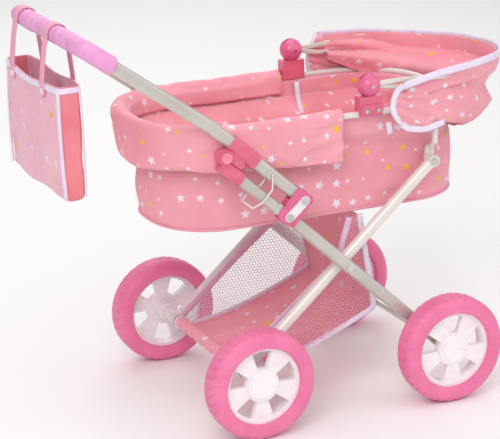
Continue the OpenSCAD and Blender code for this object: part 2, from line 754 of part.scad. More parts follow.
front_leg(LEFT);  // front_leg_left
front_leg(RIGHT);  // front_leg_right
axle(front_hub);  // front_axle
fold_bracket(LEFT);  // fold_bracket_left
fold_bracket(RIGHT);  // fold_bracket_right
link_plates();
frame_rivets();
crossing_spacers();
rear_leg(LEFT);  // rear_leg_left
rear_leg(RIGHT);  // rear_leg_right
axle(rear_hub);  // rear_axle
rear_collars();
rim_rivets();
basket();
handle_tube();
grip();
lock_housing(LEFT);  // lock_housing_left
lock_housing(RIGHT);  // lock_housing_right
handle_screws();
lock_bar(LEFT);  // lock_bar_left
lock_bar(RIGHT);  // lock_bar_right
release_button(LEFT);  // release_button_left
release_button(RIGHT);  // release_button_right
latch_wire(LEFT);  // latch_wire_left
latch_wire(RIGHT);  // latch_wire_right
rim_tube();
rim_support(LEFT);  // rim_support_left
rim_support(RIGHT);  // rim_support_right
bassinet_floor();
bassinet_wall(-rim_back, wall_seam);  // bassinet_wall_rear
bassinet_wall(wall_seam, rim_front + 50);  // bassinet_wall_front
base_board();
cuff();
hood_clamp(LEFT);  // hood_clamp_left
hood_clamp(RIGHT);  // hood_clamp_right
clamp_clips();
clamp_screws();
hinge_ball(LEFT);  // hinge_ball_left
hinge_ball(RIGHT);  // hinge_ball_right
hinge_bolts();
hood_panel(2);  // hood_back_panel
hood_hoop(0, hoop_front_y);  // hood_front_hoop
hood_panel(0);  // hood_front_panel
hood_hoop(1, hoop_middle_y);  // hood_middle_hoop
hood_panel(1);  // hood_middle_panel
tyre(front_hub, LEFT);  // tyre_front_left
tyre(front_hub, RIGHT);  // tyre_front_right
tyre(rear_hub, LEFT);  // tyre_rear_left
tyre(rear_hub, RIGHT);  // tyre_rear_right
rim(front_hub, LEFT);  // rim_front_left
rim(front_hub, RIGHT);  // rim_front_right
rim(rear_hub, LEFT);  // rim_rear_left
rim(rear_hub, RIGHT);  // rim_rear_right
hub_cap(front_hub, LEFT);  // hub_cap_front_left
hub_cap(front_hub, RIGHT);  // hub_cap_front_right
hub_cap(rear_hub, LEFT);  // hub_cap_rear_left
hub_cap(rear_hub, RIGHT);  // hub_cap_rear_right
tote_bag();
bag_straps();
bag_pocket();
strap_snaps();
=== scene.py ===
import json
import math

import bmesh
import bpy
import numpy as np
from mathutils import Matrix, Vector

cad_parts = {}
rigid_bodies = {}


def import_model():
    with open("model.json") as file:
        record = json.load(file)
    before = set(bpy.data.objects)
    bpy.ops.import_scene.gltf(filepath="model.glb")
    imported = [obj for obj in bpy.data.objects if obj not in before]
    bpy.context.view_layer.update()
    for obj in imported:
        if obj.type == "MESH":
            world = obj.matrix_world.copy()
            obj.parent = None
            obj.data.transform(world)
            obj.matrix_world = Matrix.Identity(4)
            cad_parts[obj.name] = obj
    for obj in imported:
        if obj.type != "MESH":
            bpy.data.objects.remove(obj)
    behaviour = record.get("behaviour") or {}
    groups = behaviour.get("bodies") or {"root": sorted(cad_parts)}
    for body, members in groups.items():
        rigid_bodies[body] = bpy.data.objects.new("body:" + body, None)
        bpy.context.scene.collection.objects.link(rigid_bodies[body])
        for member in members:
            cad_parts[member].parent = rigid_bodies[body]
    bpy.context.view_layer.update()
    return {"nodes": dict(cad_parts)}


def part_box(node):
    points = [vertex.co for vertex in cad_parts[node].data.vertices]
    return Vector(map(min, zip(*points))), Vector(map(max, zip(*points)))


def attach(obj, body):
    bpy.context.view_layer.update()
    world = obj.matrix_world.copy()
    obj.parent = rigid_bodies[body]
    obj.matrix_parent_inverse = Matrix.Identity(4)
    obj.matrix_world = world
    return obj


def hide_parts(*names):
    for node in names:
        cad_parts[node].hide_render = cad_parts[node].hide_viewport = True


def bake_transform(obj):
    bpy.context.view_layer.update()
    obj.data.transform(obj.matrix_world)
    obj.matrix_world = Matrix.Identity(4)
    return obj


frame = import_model()
scene = bpy.context.scene

# Shapes are written in millimetres from the ground under the wheelbase's middle.
REAR_HUB_X = -158.0
axle_low, axle_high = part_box("rear_axle")
SHIFT = 500 * (axle_low.x + axle_high.x) - REAR_HUB_X
NEAR, FAR = -1, 1


def metres(points):
    return (np.asarray(points, float) + (SHIFT, 0, 0)) / 1000


def at(x, y, z):
    return Vector(metres((x, y, z)))


# ---------- camera, light and floor ----------

def aim(thing, spot):
    way = Vector(spot) - thing.location
    thing.rotation_euler = way.to_track_quat("-Z", "Y").to_euler()


camera = bpy.data.objects.new("camera", bpy.data.cameras.new("camera"))
scene.collection.objects.link(camera)
scene.camera = camera
right = Vector((0.905302, -0.424443, -0.016644))
up = Vector((0.142813, 0.267236, 0.952990))
back = Vector((-0.400042, -0.865120, 0.302545))
turn = Matrix((right, up, back)).transposed().to_4x4()
camera.matrix_world = Matrix.Translation(at(-1389.79, -2827.89, 1256.30)) @ turn
camera.data.sensor_width = 36
camera.data.lens = 156.24
camera.data.shift_x = -0.0043
camera.data.shift_y = 0.0025
camera.data.clip_end = 50


def area_light(name, place, size, power, tint=(1, 1, 1)):
    light = bpy.data.objects.new(name, bpy.data.lights.new(name, "AREA"))
    light.data.size = size
    light.data.energy = power
    light.data.color = tint
    light.location = place
    scene.collection.objects.link(light)
    aim(light, (0, 0, 0.3))
    return light


area_light("key", (-1.6, -2.2, 2.4), 2.0, 50)
area_light("fill", (2.4, -1.6, 1.5), 2.6, 18)
area_light("rim", (0.6, 2.6, 2.2), 2.4, 25)
area_light("top", (0, 0, 3.0), 2.5, 22)

world = bpy.data.worlds.new("studio")
world.use_nodes = True
world.node_tree.nodes["Background"].inputs[0].default_value = (1, 0.99, 0.985, 1)
world.node_tree.nodes["Background"].inputs[1].default_value = 0.5
scene.world = world
scene.view_settings.view_transform = "Standard"

# ---------- materials ----------

def srgb(r, g, b):
    def channel(c):
        c /= 255
        return c / 12.92 if c <= 0.04045 else ((c + 0.055) / 1.055) ** 2.4
    return (channel(r), channel(g), channel(b), 1)


class Graph:
    """One node material, with short calls that add a node and return its output."""

    def __init__(self, name, **sockets):
        self.mat = bpy.data.materials.new(name)
        self.mat.use_nodes = True
        self.tree = self.mat.node_tree
        self.tree.nodes.clear()
        out = self.tree.nodes.new("ShaderNodeOutputMaterial")
        self.shader = self.tree.nodes.new("ShaderNodeBsdfPrincipled")
        self.tree.links.new(self.shader.outputs[0], out.inputs[0])
        for key, value in sockets.items():
            self.set(key.replace("_", " "), value)

    def set(self, key, value):
        self.put(self.shader.inputs[key], value)

    def put(self, socket, value):
        if isinstance(value, bpy.types.NodeSocket):
            self.tree.links.new(value, socket)
        else:
            socket.default_value = value

    def node(self, kind, inputs=(), **settings):
        made = self.tree.nodes.new("ShaderNode" + kind)
        for key, value in settings.items():
            setattr(made, key, value)
        for key, value in dict(inputs).items():
            self.put(made.inputs[key], value)
        return made

    def math(self, operation, *values, clamp=False):
        made = self.node("Math", dict(enumerate(values)), operation=operation)
        made.use_clamp = clamp
        return made.outputs[0]

    def vector(self, operation, *values):
        made = self.node("VectorMath", operation=operation)
        for i, value in enumerate(values):
            self.put(made.inputs["Scale" if operation == "SCALE" and i == 1 else i], value)
        return made.outputs["Value" if operation in ("LENGTH", "DOT_PRODUCT") else "Vector"]

    def cloth(self):
        return self.node("UVMap", uv_map="cloth").outputs[0]

    def here(self):
        return self.node("TexCoord").outputs["Object"]

    def noise(self, where, scale, detail=2, rough=0.5):
        return self.node("TexNoise", {"Vector": where, "Scale": scale, "Detail": detail,
                                      "Roughness": rough}).outputs[0]

    def span(self, value, low, high, to_low=0.0, to_high=1.0):
        return self.node("MapRange", {"Value": value, "From Min": low, "From Max": high,
                                      "To Min": to_low, "To Max": to_high}).outputs[0]

    def mix(self, share, a, b, kind="MIX"):
        made = self.node("Mix", data_type="RGBA", blend_type=kind)
        self.put(made.inputs[0], share)
        self.put(made.inputs[6], a)
        self.put(made.inputs[7], b)
        return made.outputs[2]

    def bump(self, height, strength, distance):
        made = self.node("Bump", {"Height": height, "Strength": strength, "Distance": distance})
        self.set("Normal", made.outputs[0])


def stars(graph, where):
    """Masks of scattered five-pointed stars: white ones and yellow ones. where is in metres."""
    cell = 29.0                             # mean spacing of the stars, mm
    spot = graph.vector("SCALE", where, 1000 / cell)
    cells = graph.node("TexVoronoi", {"Vector": spot, "Scale": 1.0, "Randomness": 0.62},
                       voronoi_dimensions="2D", feature="F1")
    offset = graph.vector("SCALE", graph.vector("SUBTRACT", spot, cells.outputs["Position"]),
                          cell)
    luck = graph.node("SeparateColor", {"Color": cells.outputs["Color"]})
    big, kind, turned = luck.outputs
    part = graph.node("SeparateXYZ", {"Vector": offset})
    angle = graph.math("ARCTAN2", part.outputs[1], part.outputs[0])
    angle = graph.math("ADD", angle, graph.math("MULTIPLY", turned, 6.283))
    angle = graph.math("PINGPONG", angle, math.pi / 5)
    reach = graph.math("DIVIDE", graph.vector("LENGTH", offset),
                       graph.span(graph.math("POWER", big, 1.6), 0, 1, 2.9, 8.6))
    x = graph.math("MULTIPLY", reach, graph.math("COSINE", angle))
    y = graph.math("MULTIPLY", reach, graph.math("SINE", angle))
    notch = 0.47
    nx, ny = notch * math.cos(math.pi / 5), notch * math.sin(math.pi / 5)
    inside = graph.math("SUBTRACT", graph.math("MULTIPLY", y, nx - 1),
                        graph.math("MULTIPLY", graph.math("SUBTRACT", x, 1.0), ny))
    shape = graph.span(inside, 0.0, 0.02)
    white = graph.math("MULTIPLY", shape, graph.math("LESS_THAN", kind, 0.56))
    yellow = graph.math("MULTIPLY", shape, graph.math("GREATER_THAN", kind, 0.78))
    return white, yellow


def weave(graph, where, pitch):
    """Height of a plain weave with the given thread pitch, in metres."""
    part = graph.node("SeparateXYZ", {"Vector": where})
    turn = 2 * math.pi / pitch
    u = graph.math("SINE", graph.math("MULTIPLY", part.outputs[0], turn))
    v = graph.math("SINE", graph.math("MULTIPLY", part.outputs[1], turn))
    return graph.math("MULTIPLY", u, v)


def fabric(name, colour, deep, starry=True, rough=0.62, crease=1.0):
    """Woven polyester: dyed unevenly, with a soft sheen and creases, printed with stars."""
    g = Graph(name, Roughness=rough, Sheen_Weight=0.22, Sheen_Roughness=0.45,
              Sheen_Tint=(1.0, 0.86, 0.9, 1))
    g.set("Specular IOR Level", 0.32)
    g.set("Subsurface Weight", 0.06)
    g.set("Subsurface Radius", (0.004, 0.002, 0.002))
    uv = g.cloth()
    shade = g.span(g.noise(uv, 9, 3), 0.35, 0.7)
    base = g.mix(shade, colour, deep)
    if starry:
        white, yellow = stars(g, uv)
        base = g.mix(white, base, srgb(246, 232, 244))
        base = g.mix(yellow, base, srgb(246, 198, 52))
    thread = g.noise(uv, 900, 1)
    g.set("Base Color", g.mix(g.span(thread, 0.3, 0.7, 0, 0.09), base, (0.45, 0.2, 0.25, 1),
                              "MULTIPLY"))
    fold = g.math("MULTIPLY", g.noise(g.vector("MULTIPLY", uv, (1, 0.35, 1)), 24, 3, 0.6),
                  1.4 * crease)
    g.bump(g.math("ADD", fold, g.math("MULTIPLY", weave(g, uv, 0.00085), 0.035)), 0.5, 0.005)
    return g.mat


def tape(name, colour, deep):
    """Ribbed binding tape with a line of stitches near one edge."""
    g = Graph(name, Roughness=0.6, Sheen_Weight=0.3, Sheen_Roughness=0.4)
    uv = g.cloth()
    part = g.node("SeparateXYZ", {"Vector": uv})
    rib = g.math("SINE", g.math("MULTIPLY", part.outputs[0], 2 * math.pi / 0.0011))
    spots = g.span(g.noise(uv, 60, 2), 0.3, 0.7)
    base = g.mix(spots, colour, deep)
    stitch = g.math("GREATER_THAN", g.math("SINE", g.math("MULTIPLY", part.outputs[0], 2090)), -0.2)
    line = g.math("LESS_THAN", g.math("ABSOLUTE", g.math("SUBTRACT", part.outputs[1], 0.0017)),
                  0.0004)
    seam = g.math("MULTIPLY", stitch, line)
    g.set("Base Color", g.mix(g.math("MULTIPLY", seam, 0.5), base, srgb(190, 150, 180)))
    g.bump(g.math("ADD", g.math("MULTIPLY", rib, 0.3), seam), 0.3, 0.0004)
    return g.mat


def plastic(name, colour, deep, rough=0.3, grain=0.15):
    """Moulded plastic: slight flow marks, a fine grain and scuffs that dull the gloss."""
    g = Graph(name)
    g.set("Specular IOR Level", 0.5)
    g.set("Coat Weight", 0.12)
    g.set("Subsurface Weight", 0.05)
    g.set("Subsurface Radius", (0.003, 0.002, 0.002))
    spot = g.here()
    flow = g.noise(g.vector("MULTIPLY", spot, (1, 1, 3)), 22, 2)
    g.set("Base Color", g.mix(g.span(flow, 0.35, 0.65), colour, deep))
    scuff = g.span(g.noise(spot, 150, 4, 0.7), 0.5, 0.75, rough, rough + 0.2)
    g.set("Roughness", scuff)
    g.bump(g.noise(spot, 1400, 1), grain, 0.0002)
    return g.mat


def painted(name, colour, deep, metallic, rough):
    """Sprayed metal: orange peel, dust and a few rubbed places."""
    g = Graph(name, Metallic=metallic)
    g.set("Coat Weight", 0.18)
    g.set("Coat Roughness", 0.22)
    spot = g.here()
    cloud = g.span(g.noise(spot, 14, 3), 0.35, 0.68)
    rub = g.span(g.noise(spot, 75, 4, 0.7), 0.62, 0.74)
    base = g.mix(cloud, colour, deep)
    g.set("Base Color", g.mix(g.math("MULTIPLY", rub, 0.25), base, (0.42, 0.41, 0.4, 1)))
    g.set("Roughness", g.span(g.noise(spot, 260, 2), 0.3, 0.7, rough, rough + 0.12))
    g.bump(g.noise(spot, 900, 2), 0.08, 0.0002)
    return g.mat


def foam(name, colour, deep, grain, rough, streak=(1, 1, 1)):
    """Skinned foam: closed cells show as a fine stipple, with paler rubbed patches."""
    g = Graph(name)
    g.set("Specular IOR Level", 0.35)
    g.set("Sheen Weight", 0.12)
    spot = g.here()
    cloud = g.span(g.noise(g.vector("MULTIPLY", spot, streak), 26, 3), 0.35, 0.7)
    pores = g.node("TexVoronoi", {"Vector": spot, "Scale": grain}).outputs[0]
    base = g.mix(cloud, colour, deep)
    g.set("Base Color", g.mix(g.span(pores, 0.2, 0.7, 0, 0.12), base, (0.9, 0.75, 0.85, 1)))
    g.set("Roughness", g.span(g.noise(spot, 180, 2), 0.3, 0.7, rough, rough + 0.15))
    g.bump(pores, 0.12, 0.0004)
    return g.mat


PINK = srgb(250, 174, 186)
PINK_DEEP = srgb(242, 156, 172)
star_fabric = fabric("star_fabric", PINK, PINK_DEEP)
# the star fabric made a little darker: painted shade for the inner walls of the bassinet and the
# hood
lining_painted_shade_fabric = fabric("lining_painted_shade_fabric", srgb(250, 172, 184), srgb(240, 150, 166))
# the star fabric made paler: painted light on the tote bag
painted_light_bag_fabric = fabric("painted_light_bag_fabric", srgb(253, 198, 214), srgb(248, 180, 200))
# a darker red plain fabric: painted shade on the tote bag's end gussets, and also the inner
# pocket's cloth
gusset_shade_and_pocket_fabric = fabric("gusset_shade_and_pocket_fabric", srgb(244, 146, 154), srgb(232, 120, 132), False)
strap_fabric = fabric("strap_fabric", srgb(247, 172, 196), srgb(240, 158, 184), False)
white_tape = tape("white_tape", srgb(240, 228, 243), srgb(228, 214, 238))
lilac_tape = tape("lilac_tape", srgb(232, 196, 222), srgb(222, 180, 212))
net_white = plastic("net_white", srgb(248, 240, 246), srgb(238, 226, 238), 0.55)
net_pink = plastic("net_pink", srgb(244, 176, 196), srgb(236, 160, 184), 0.55)
pink_plastic = plastic("pink_plastic", srgb(228, 108, 150), srgb(216, 94, 138), 0.27)
rose_plastic = plastic("rose_plastic", srgb(226, 108, 136), srgb(216, 96, 126), 0.32)
button_plastic = plastic("button_plastic", srgb(240, 140, 160), srgb(232, 126, 148), 0.3)
white_plastic = plastic("white_plastic", srgb(240, 233, 238), srgb(230, 220, 228), 0.34)
clear_plastic = plastic("clear_plastic", srgb(238, 222, 236), srgb(226, 206, 224), 0.2)
silver = painted("silver", srgb(205, 200, 194), srgb(192, 186, 180), 0.45, 0.3)
white_paint = painted("white_paint", srgb(232, 226, 220), srgb(220, 213, 207), 0.1, 0.28)
steel = painted("steel", srgb(214, 212, 210), srgb(186, 184, 182), 0.95, 0.14)
tyre_foam = foam("tyre_foam", srgb(240, 116, 164), srgb(230, 98, 150), 700, 0.42)
grip_foam = foam("grip_foam", srgb(236, 160, 212), srgb(222, 134, 192), 900, 0.5, (1, 3, 1))
rim_plastic = plastic("rim_plastic", srgb(250, 244, 246), srgb(244, 236, 240), 0.26)
cap_plastic = plastic("cap_plastic", srgb(252, 246, 248), srgb(246, 238, 242), 0.24)
board_card = plastic("board_card", srgb(190, 164, 128), srgb(172, 146, 112), 0.7)

# ---------- mesh tools ----------

def piece(name, points, faces, uvs, material, body, smooth=True):
    """A mesh piece from points in millimetres; uvs holds one list of pairs per face."""
    mesh = bpy.data.meshes.new(name)
    mesh.from_pydata(metres(points).tolist(), [], faces)
    if uvs is not None:
        layer = mesh.uv_layers.new(name="cloth")
        layer.data.foreach_set("uv", np.array([c for f in uvs for c in f], float).ravel())
    if smooth:
        mesh.shade_smooth()
    ob = bpy.data.objects.new(name, mesh)
    scene.collection.objects.link(ob)
    mesh.materials.append(material)
    ob["wanted_body"] = body
    return ob


def grid(rows, wrap_u=False, wrap_v=False, caps=False, origin=(0.0, 0.0)):
    """Points, faces and cloth coordinates of a grid of points, rows[v][u]."""
    rows = np.asarray(rows, float)
    count_v, count_u = rows.shape[:2]
    ring = np.concatenate([rows, rows[:, :1]], 1)
    u_at = np.concatenate([[0], np.cumsum(np.linalg.norm(np.diff(ring, axis=1), axis=2).mean(0))])
    tall = np.concatenate([rows, rows[:1]], 0)
    v_at = np.concatenate([[0], np.cumsum(np.linalg.norm(np.diff(tall, axis=0), axis=2).mean(1))])
    faces, uvs = [], []
    for v in range(count_v if wrap_v else count_v - 1):
        w = (v + 1) % count_v
        for u in range(count_u if wrap_u else count_u - 1):
            t = (u + 1) % count_u
            faces.append((v * count_u + u, v * count_u + t, w * count_u + t, w * count_u + u))
            uvs.append([((u_at[a] + origin[0]) / 1000, (v_at[b] + origin[1]) / 1000)
                        for a, b in ((u, v), (u + 1, v), (u + 1, v + 1), (u, v + 1))])
    if caps:
        for v in (0, count_v - 1):
            loop = [v * count_u + u for u in range(count_u)]
            spots = rows[v]
            middle = spots.mean(0)
            faces.append(tuple(loop if v else loop[::-1]))
            flat = [((p - middle)[[0, 1]].sum() / 1000, (p - middle)[2] / 1000) for p in spots]
            uvs.append(flat if v else flat[::-1])
    return rows.reshape(-1, 3), faces, uvs


def tidy_normals(ob):
    bm = bmesh.new()
    bm.from_mesh(ob.data)
    bmesh.ops.recalc_face_normals(bm, faces=bm.faces)
    bm.to_mesh(ob.data)
    bm.free()


def baked(ob):
    """Replaces ob's mesh by its mesh with the modifiers applied."""
    graph = bpy.context.evaluated_depsgraph_get()
    made = bpy.data.meshes.new_from_object(ob.evaluated_get(graph))
    ob.modifiers.clear()
    ob.data = made
    ob.data.shade_smooth()
    return ob


def thick(ob, amount, inwards=True):
    solid = ob.modifiers.new("thick", "SOLIDIFY")
    solid.thickness = amount / 1000
    solid.offset = -1 if inwards else 0
    return baked(ob)


def smoother(ob, levels=1):
    sub = ob.modifiers.new("sub", "SUBSURF")
    sub.levels = sub.render_levels = levels
    return baked(ob)


def puffed(ob, held, pressure=3.0, grow=0.02, cap=5.0, steps=16, stiff=12.0):
    """Runs a short cloth simulation with air pressure. held gives 0..1 per point; cap is in mm."""
    start = np.array([v.co for v in ob.data.vertices])
    group = ob.vertex_groups.new(name="held")
    for i, w in enumerate(held):
        if w > 0:
            group.add([i], float(w), "REPLACE")
    cloth = ob.modifiers.new("cloth", "CLOTH")
    cloth.settings.quality = 4
    cloth.settings.mass = 0.25
    cloth.settings.tension_stiffness = cloth.settings.compression_stiffness = stiff
    cloth.settings.shear_stiffness = 4
    cloth.settings.bending_stiffness = 0.15
    cloth.settings.use_pressure = True
    cloth.settings.uniform_pressure_force = pressure
    cloth.settings.effector_weights.gravity = 0
    cloth.settings.vertex_group_mass = "held"
    cloth.settings.shrink_min = -grow
    cloth.collision_settings.use_collision = False
    cloth.point_cache.frame_start = 1
    cloth.point_cache.frame_end = steps
    for f in range(1, steps + 1):
        scene.frame_set(f)
    graph = bpy.context.evaluated_depsgraph_get()
    end = np.array([v.co for v in ob.evaluated_get(graph).data.vertices])
    ob.modifiers.remove(cloth)
    ob.vertex_groups.remove(group)
    scene.frame_set(1)
    moved = end - start
    far = np.linalg.norm(moved, axis=1, keepdims=True)
    scale = np.minimum(1, cap / 1000 / np.maximum(far, 1e-9))
    ob.data.vertices.foreach_set("co", (start + moved * scale).ravel())
    ob.data.update()
    return ob


def tube(points, radius, sides=10, closed=False, flat=None):
    """Rows of a round tube along points; flat = (width, thickness, up) makes a tape instead."""
    pts = np.asarray(points, float)
    if closed:
        tangent = np.roll(pts, -1, 0) - np.roll(pts, 1, 0)
    else:
        tangent = np.gradient(pts, axis=0)
    tangent /= np.linalg.norm(tangent, axis=1, keepdims=True)
    if flat is None:
        ref = np.tile((0.31, 0.87, 0.39), (len(pts), 1))
        first = np.cross(tangent, ref)
        for i in range(1, len(pts)):        # keeps the section from twisting
            first[i] = first[i - 1] - tangent[i] * (first[i - 1] @ tangent[i])
        first /= np.linalg.norm(first, axis=1, keepdims=True)
        second = np.cross(tangent, first)
        rows = []
        for p, a, b in zip(pts, first, second):
            rows.append([p + radius * (math.cos(t) * a + math.sin(t) * b)
                         for t in np.linspace(0, 2 * math.pi, sides, endpoint=False)])
        return np.array(rows)
    width, thickness, ups = flat
    ups = np.broadcast_to(np.asarray(ups, float), pts.shape)
    side = ups - tangent * (ups * tangent).sum(1, keepdims=True)
    side /= np.linalg.norm(side, axis=1, keepdims=True)
    out = np.cross(tangent, side)
    w, t = width / 2, thickness / 2
    loop = [(-w, -t), (-w * 0.5, -t), (0, -t), (w * 0.5, -t), (w, -t),
            (w, t), (w * 0.5, t), (0, t), (-w * 0.5, t), (-w, t)]
    return np.array([[p + a * s + b * o for a, b in loop] for p, s, o in zip(pts, side, out)])


def smooth_line(points, count, closed=False):
    """Evenly spaced points on a smooth curve through the given ones."""
    pts = np.asarray(points, float)
    n = len(pts)
    dense = []
    for i in range(n if closed else n - 1):
        if closed:
            a, b, c, d = (pts[(i + k) % n] for k in (-1, 0, 1, 2))
        else:
            a, b, c, d = (pts[min(max(i + k, 0), n - 1)] for k in (-1, 0, 1, 2))
        for t in np.linspace(0, 1, 12, endpoint=False):
            dense.append(0.5 * (2 * b + (c - a) * t + (2 * a - 5 * b + 4 * c - d) * t * t
                                + (3 * b - a - 3 * c + d) * t ** 3))
    dense.append(pts[0] if closed else pts[-1])
    dense = np.array(dense)
    far = np.concatenate([[0], np.cumsum(np.linalg.norm(np.diff(dense, axis=0), axis=1))])
    where = np.linspace(0, far[-1], count, endpoint=not closed)
    return np.stack([np.interp(where, far, dense[:, k]) for k in range(dense.shape[1])], 1)


def pipe(name, points, radius, material, body, sides=10, closed=False):
    pts, faces, uvs = grid(tube(points, radius, sides, closed), True, closed, not closed)
    ob = piece(name, pts, faces, uvs, material, body)
    tidy_normals(ob)
    return ob


def ribbon(name, points, width, thickness, ups, material, body, closed=False):
    rows = tube(points, 0, closed=closed, flat=(width, thickness, ups))
    pts, faces, uvs = grid(rows.transpose(1, 0, 2), closed, True)
    if not closed:
        n = rows.shape[0]
        for end in (0, n - 1):
            faces.append(tuple(k * n + end for k in range(rows.shape[1])))
            uvs.append([(0.0, 0.001 * k) for k in range(rows.shape[1])])
    ob = piece(name, pts, faces, uvs, material, body)
    tidy_normals(ob)
    return ob


def joined(name, parts):
    """One piece made of several of the same body."""
    bpy.ops.object.select_all(action="DESELECT")
    for ob in parts:
        ob.select_set(True)
    bpy.context.view_layer.objects.active = parts[0]
    if len(parts) > 1:
        bpy.ops.object.join()
    parts[0].name = parts[0].data.name = name
    return parts[0]


# ---------- the CAD parts that keep their shape ----------

def finished(part, finish):
    """Gives a CAD node one material on all its faces."""
    mesh = frame["nodes"][part].data
    mesh.materials.clear()
    mesh.materials.append(finish)
    mesh.polygons.foreach_set("material_index", [0] * len(mesh.polygons))


for part, finish in (
    ("front_leg_left", silver), ("front_leg_right", silver), ("handle_tube", silver),
    ("lock_bar_left", silver), ("lock_bar_right", silver),
    ("rear_leg_left", white_paint), ("rear_leg_right", white_paint),
    ("rim_tube", white_paint), ("rim_support_left", white_paint),
    ("rim_support_right", white_paint), ("link_plates", white_plastic),
    ("front_axle", steel), ("rear_axle", steel), ("frame_rivets", steel),
    ("rim_rivets", steel), ("handle_screws", steel), ("clamp_screws", steel),
    ("hinge_bolts", steel), ("crossing_spacers", white_plastic),
    ("rear_collars", white_plastic), ("strap_snaps", white_plastic),
    ("fold_bracket_left", pink_plastic), ("fold_bracket_right", pink_plastic),
    ("lock_housing_left", rose_plastic), ("lock_housing_right", rose_plastic),
    ("release_button_left", button_plastic), ("release_button_right", button_plastic),
    ("hood_clamp_left", rose_plastic), ("hood_clamp_right", rose_plastic),
    ("clamp_clips", rose_plastic), ("hinge_ball_left", pink_plastic),
    ("hinge_ball_right", pink_plastic), ("hood_front_hoop", white_paint),
    ("hood_middle_hoop", white_paint), ("base_board", board_card),
    ("latch_wire_left", white_paint), ("latch_wire_right", white_paint),
):
    finished(part, finish)
for place in ("front_left", "front_right", "rear_left", "rear_right"):
    finished("rim_" + place, rim_plastic)
    finished("hub_cap_" + place, cap_plastic)


# ---------- shapes shared by the soft pieces ----------

BACK, FRONT, HALF = -252, 236, 104      # reach and half width of the bassinet's lower part
RIM_BACK, RIM_FRONT, RIM_HALF = -271, 222, 128       # the rim tube's middle line
HINGE_X, HINGE_Z = 48, 490.5
REAR_HUB = (REAR_HUB_X, 82.5)
BAR = (-389.1, 593.2)                   # middle of the handle's crossbar, ahead and up


def plan(x0, x1, half, r, counts=(12, 22, 50)):
    """Points round a rounded rectangle seen from above, and their outward directions."""
    points, ways = [], []
    corners = ((x1 - r, half - r, 0), (x0 + r, half - r, 90),
               (x0 + r, r - half, 180), (x1 - r, r - half, 270))
    lines = (((x1, r - half), (x1, half - r), counts[0]),
             ((x1 - r, half), (x0 + r, half), counts[2]),
             ((x0, half - r), (x0, r - half), counts[0]),
             ((x0 + r, -half), (x1 - r, -half), counts[2]))
    for (a, b, count), (cx, cy, start) in zip(lines, corners):
        way = (math.cos(math.radians(start)), math.sin(math.radians(start)))
        for t in np.linspace(0, 1, count, endpoint=False):
            points.append((a[0] + (b[0] - a[0]) * t, a[1] + (b[1] - a[1]) * t))
            ways.append(way)
        for t in np.linspace(0, 90, counts[1], endpoint=False):
            c, s = math.cos(math.radians(start + t)), math.sin(math.radians(start + t))
            points.append((cx + r * c, cy + r * s))
            ways.append((c, s))
    return np.array(points), np.array(ways)


def ring(x0, x1, half, r, z):
    points, _ = plan(x0, x1, half, r)
    return np.column_stack([points, np.full(len(points), float(z))])


def across(rows, faces, uvs, end):
    """Closes a ring of plan() points at one end with strips from side to side."""
    count = len(rows[end])
    base = (end % len(rows)) * count
    for j in range(count // 2 - 1):
        loop = [(6 + k) % count for k in (j, j + 1, -2 - j, -1 - j)]
        faces.append(tuple(base + k for k in loop))
        uvs.append([(rows[end][k][0] / 1000, rows[end][k][1] / 1000) for k in loop])


def ease(t):
    t = np.clip(t, 0, 1)
    return t * t * (3 - 2 * t)


def shaped(ob, push):
    """Moves the surface along its normals by push(points), in mm."""
    mesh = ob.data
    count = len(mesh.vertices)
    co, way = np.empty(count * 3), np.empty(count * 3)
    mesh.vertices.foreach_get("co", co)
    mesh.vertices.foreach_get("normal", way)
    co, way = co.reshape(-1, 3), way.reshape(-1, 3)
    fit = co * 1000 - (SHIFT, 0, 0)
    mesh.vertices.foreach_set("co", (co + way * push(fit)[:, None] / 1000).ravel())
    mesh.update()
    return ob


def crumple(points, length, seed, stretch=(1, 1, 1)):
    """Folds as a sum of bent ridges, about -1 to 1, at points in mm."""
    p = points * np.asarray(stretch, float) / length
    total = np.zeros(len(p))
    spin = np.random.RandomState(seed)
    for k in range(5):
        way = spin.normal(size=3)
        way /= np.linalg.norm(way)
        bend = spin.normal(size=3) * 0.55
        phase = p @ way * (1.1 + 0.45 * k) + np.sin(p @ bend + spin.uniform(0, 6.28)) * 1.7
        total += np.sin(phase * 2 + spin.uniform(0, 6.28)) / (1 + 0.35 * k)
    return total / 3


# ---------- bassinet ----------

rows = [ring(BACK + k, FRONT - k, HALF - k, max(3, 92 - k), 292.6 - 0.006 * k)
        for k in (100.5, 84, 66, 48, 32, 18, 9, 4)]
rows += [ring(BACK + 1.2, FRONT - 1.2, HALF - 1.2, 91, 294), ring(BACK, FRONT, HALF, 92, 298)]
for z in np.arange(304, 446, 5.8):
    full = 2.2 * math.sin(math.pi * min(1, (z - 298) / 92))
    t = float(ease((z - 388) / 34))
    rows.append(ring(BACK - full - 13.8 * t, FRONT + full - 19.2 * t, HALF + full + 18.6 * t,
                     92 + 8.5 * t, z))
pts, faces, uvs = grid(rows, True, False)
across(rows, faces, uvs, 0)
tub = piece("bassinet_shell", pts, faces, uvs, star_fabric, "bassinet")
tidy_normals(tub)
smoother(tub)


def tub_folds(p):
    tall = ease((p[:, 2] - 300) / 20) * ease((440 - p[:, 2]) / 20)
    pull = np.sin((p[:, 0] * 0.75 + p[:, 2] * 1.3) / 8.5 + np.sin(p[:, 0] / 31) * 1.5)
    pulled = ease((p[:, 0] - 40) / 60) * ease((215 - p[:, 0]) / 40)
    step = np.exp(-((p[:, 2] - 391) / 5.5) ** 2)
    return (tall * (2.3 * crumple(p, 42, 3, (1, 1, 1.3)) + 0.8 * crumple(p, 15, 4)
                    + 1.3 * pull * pulled) - 1.3 * step)


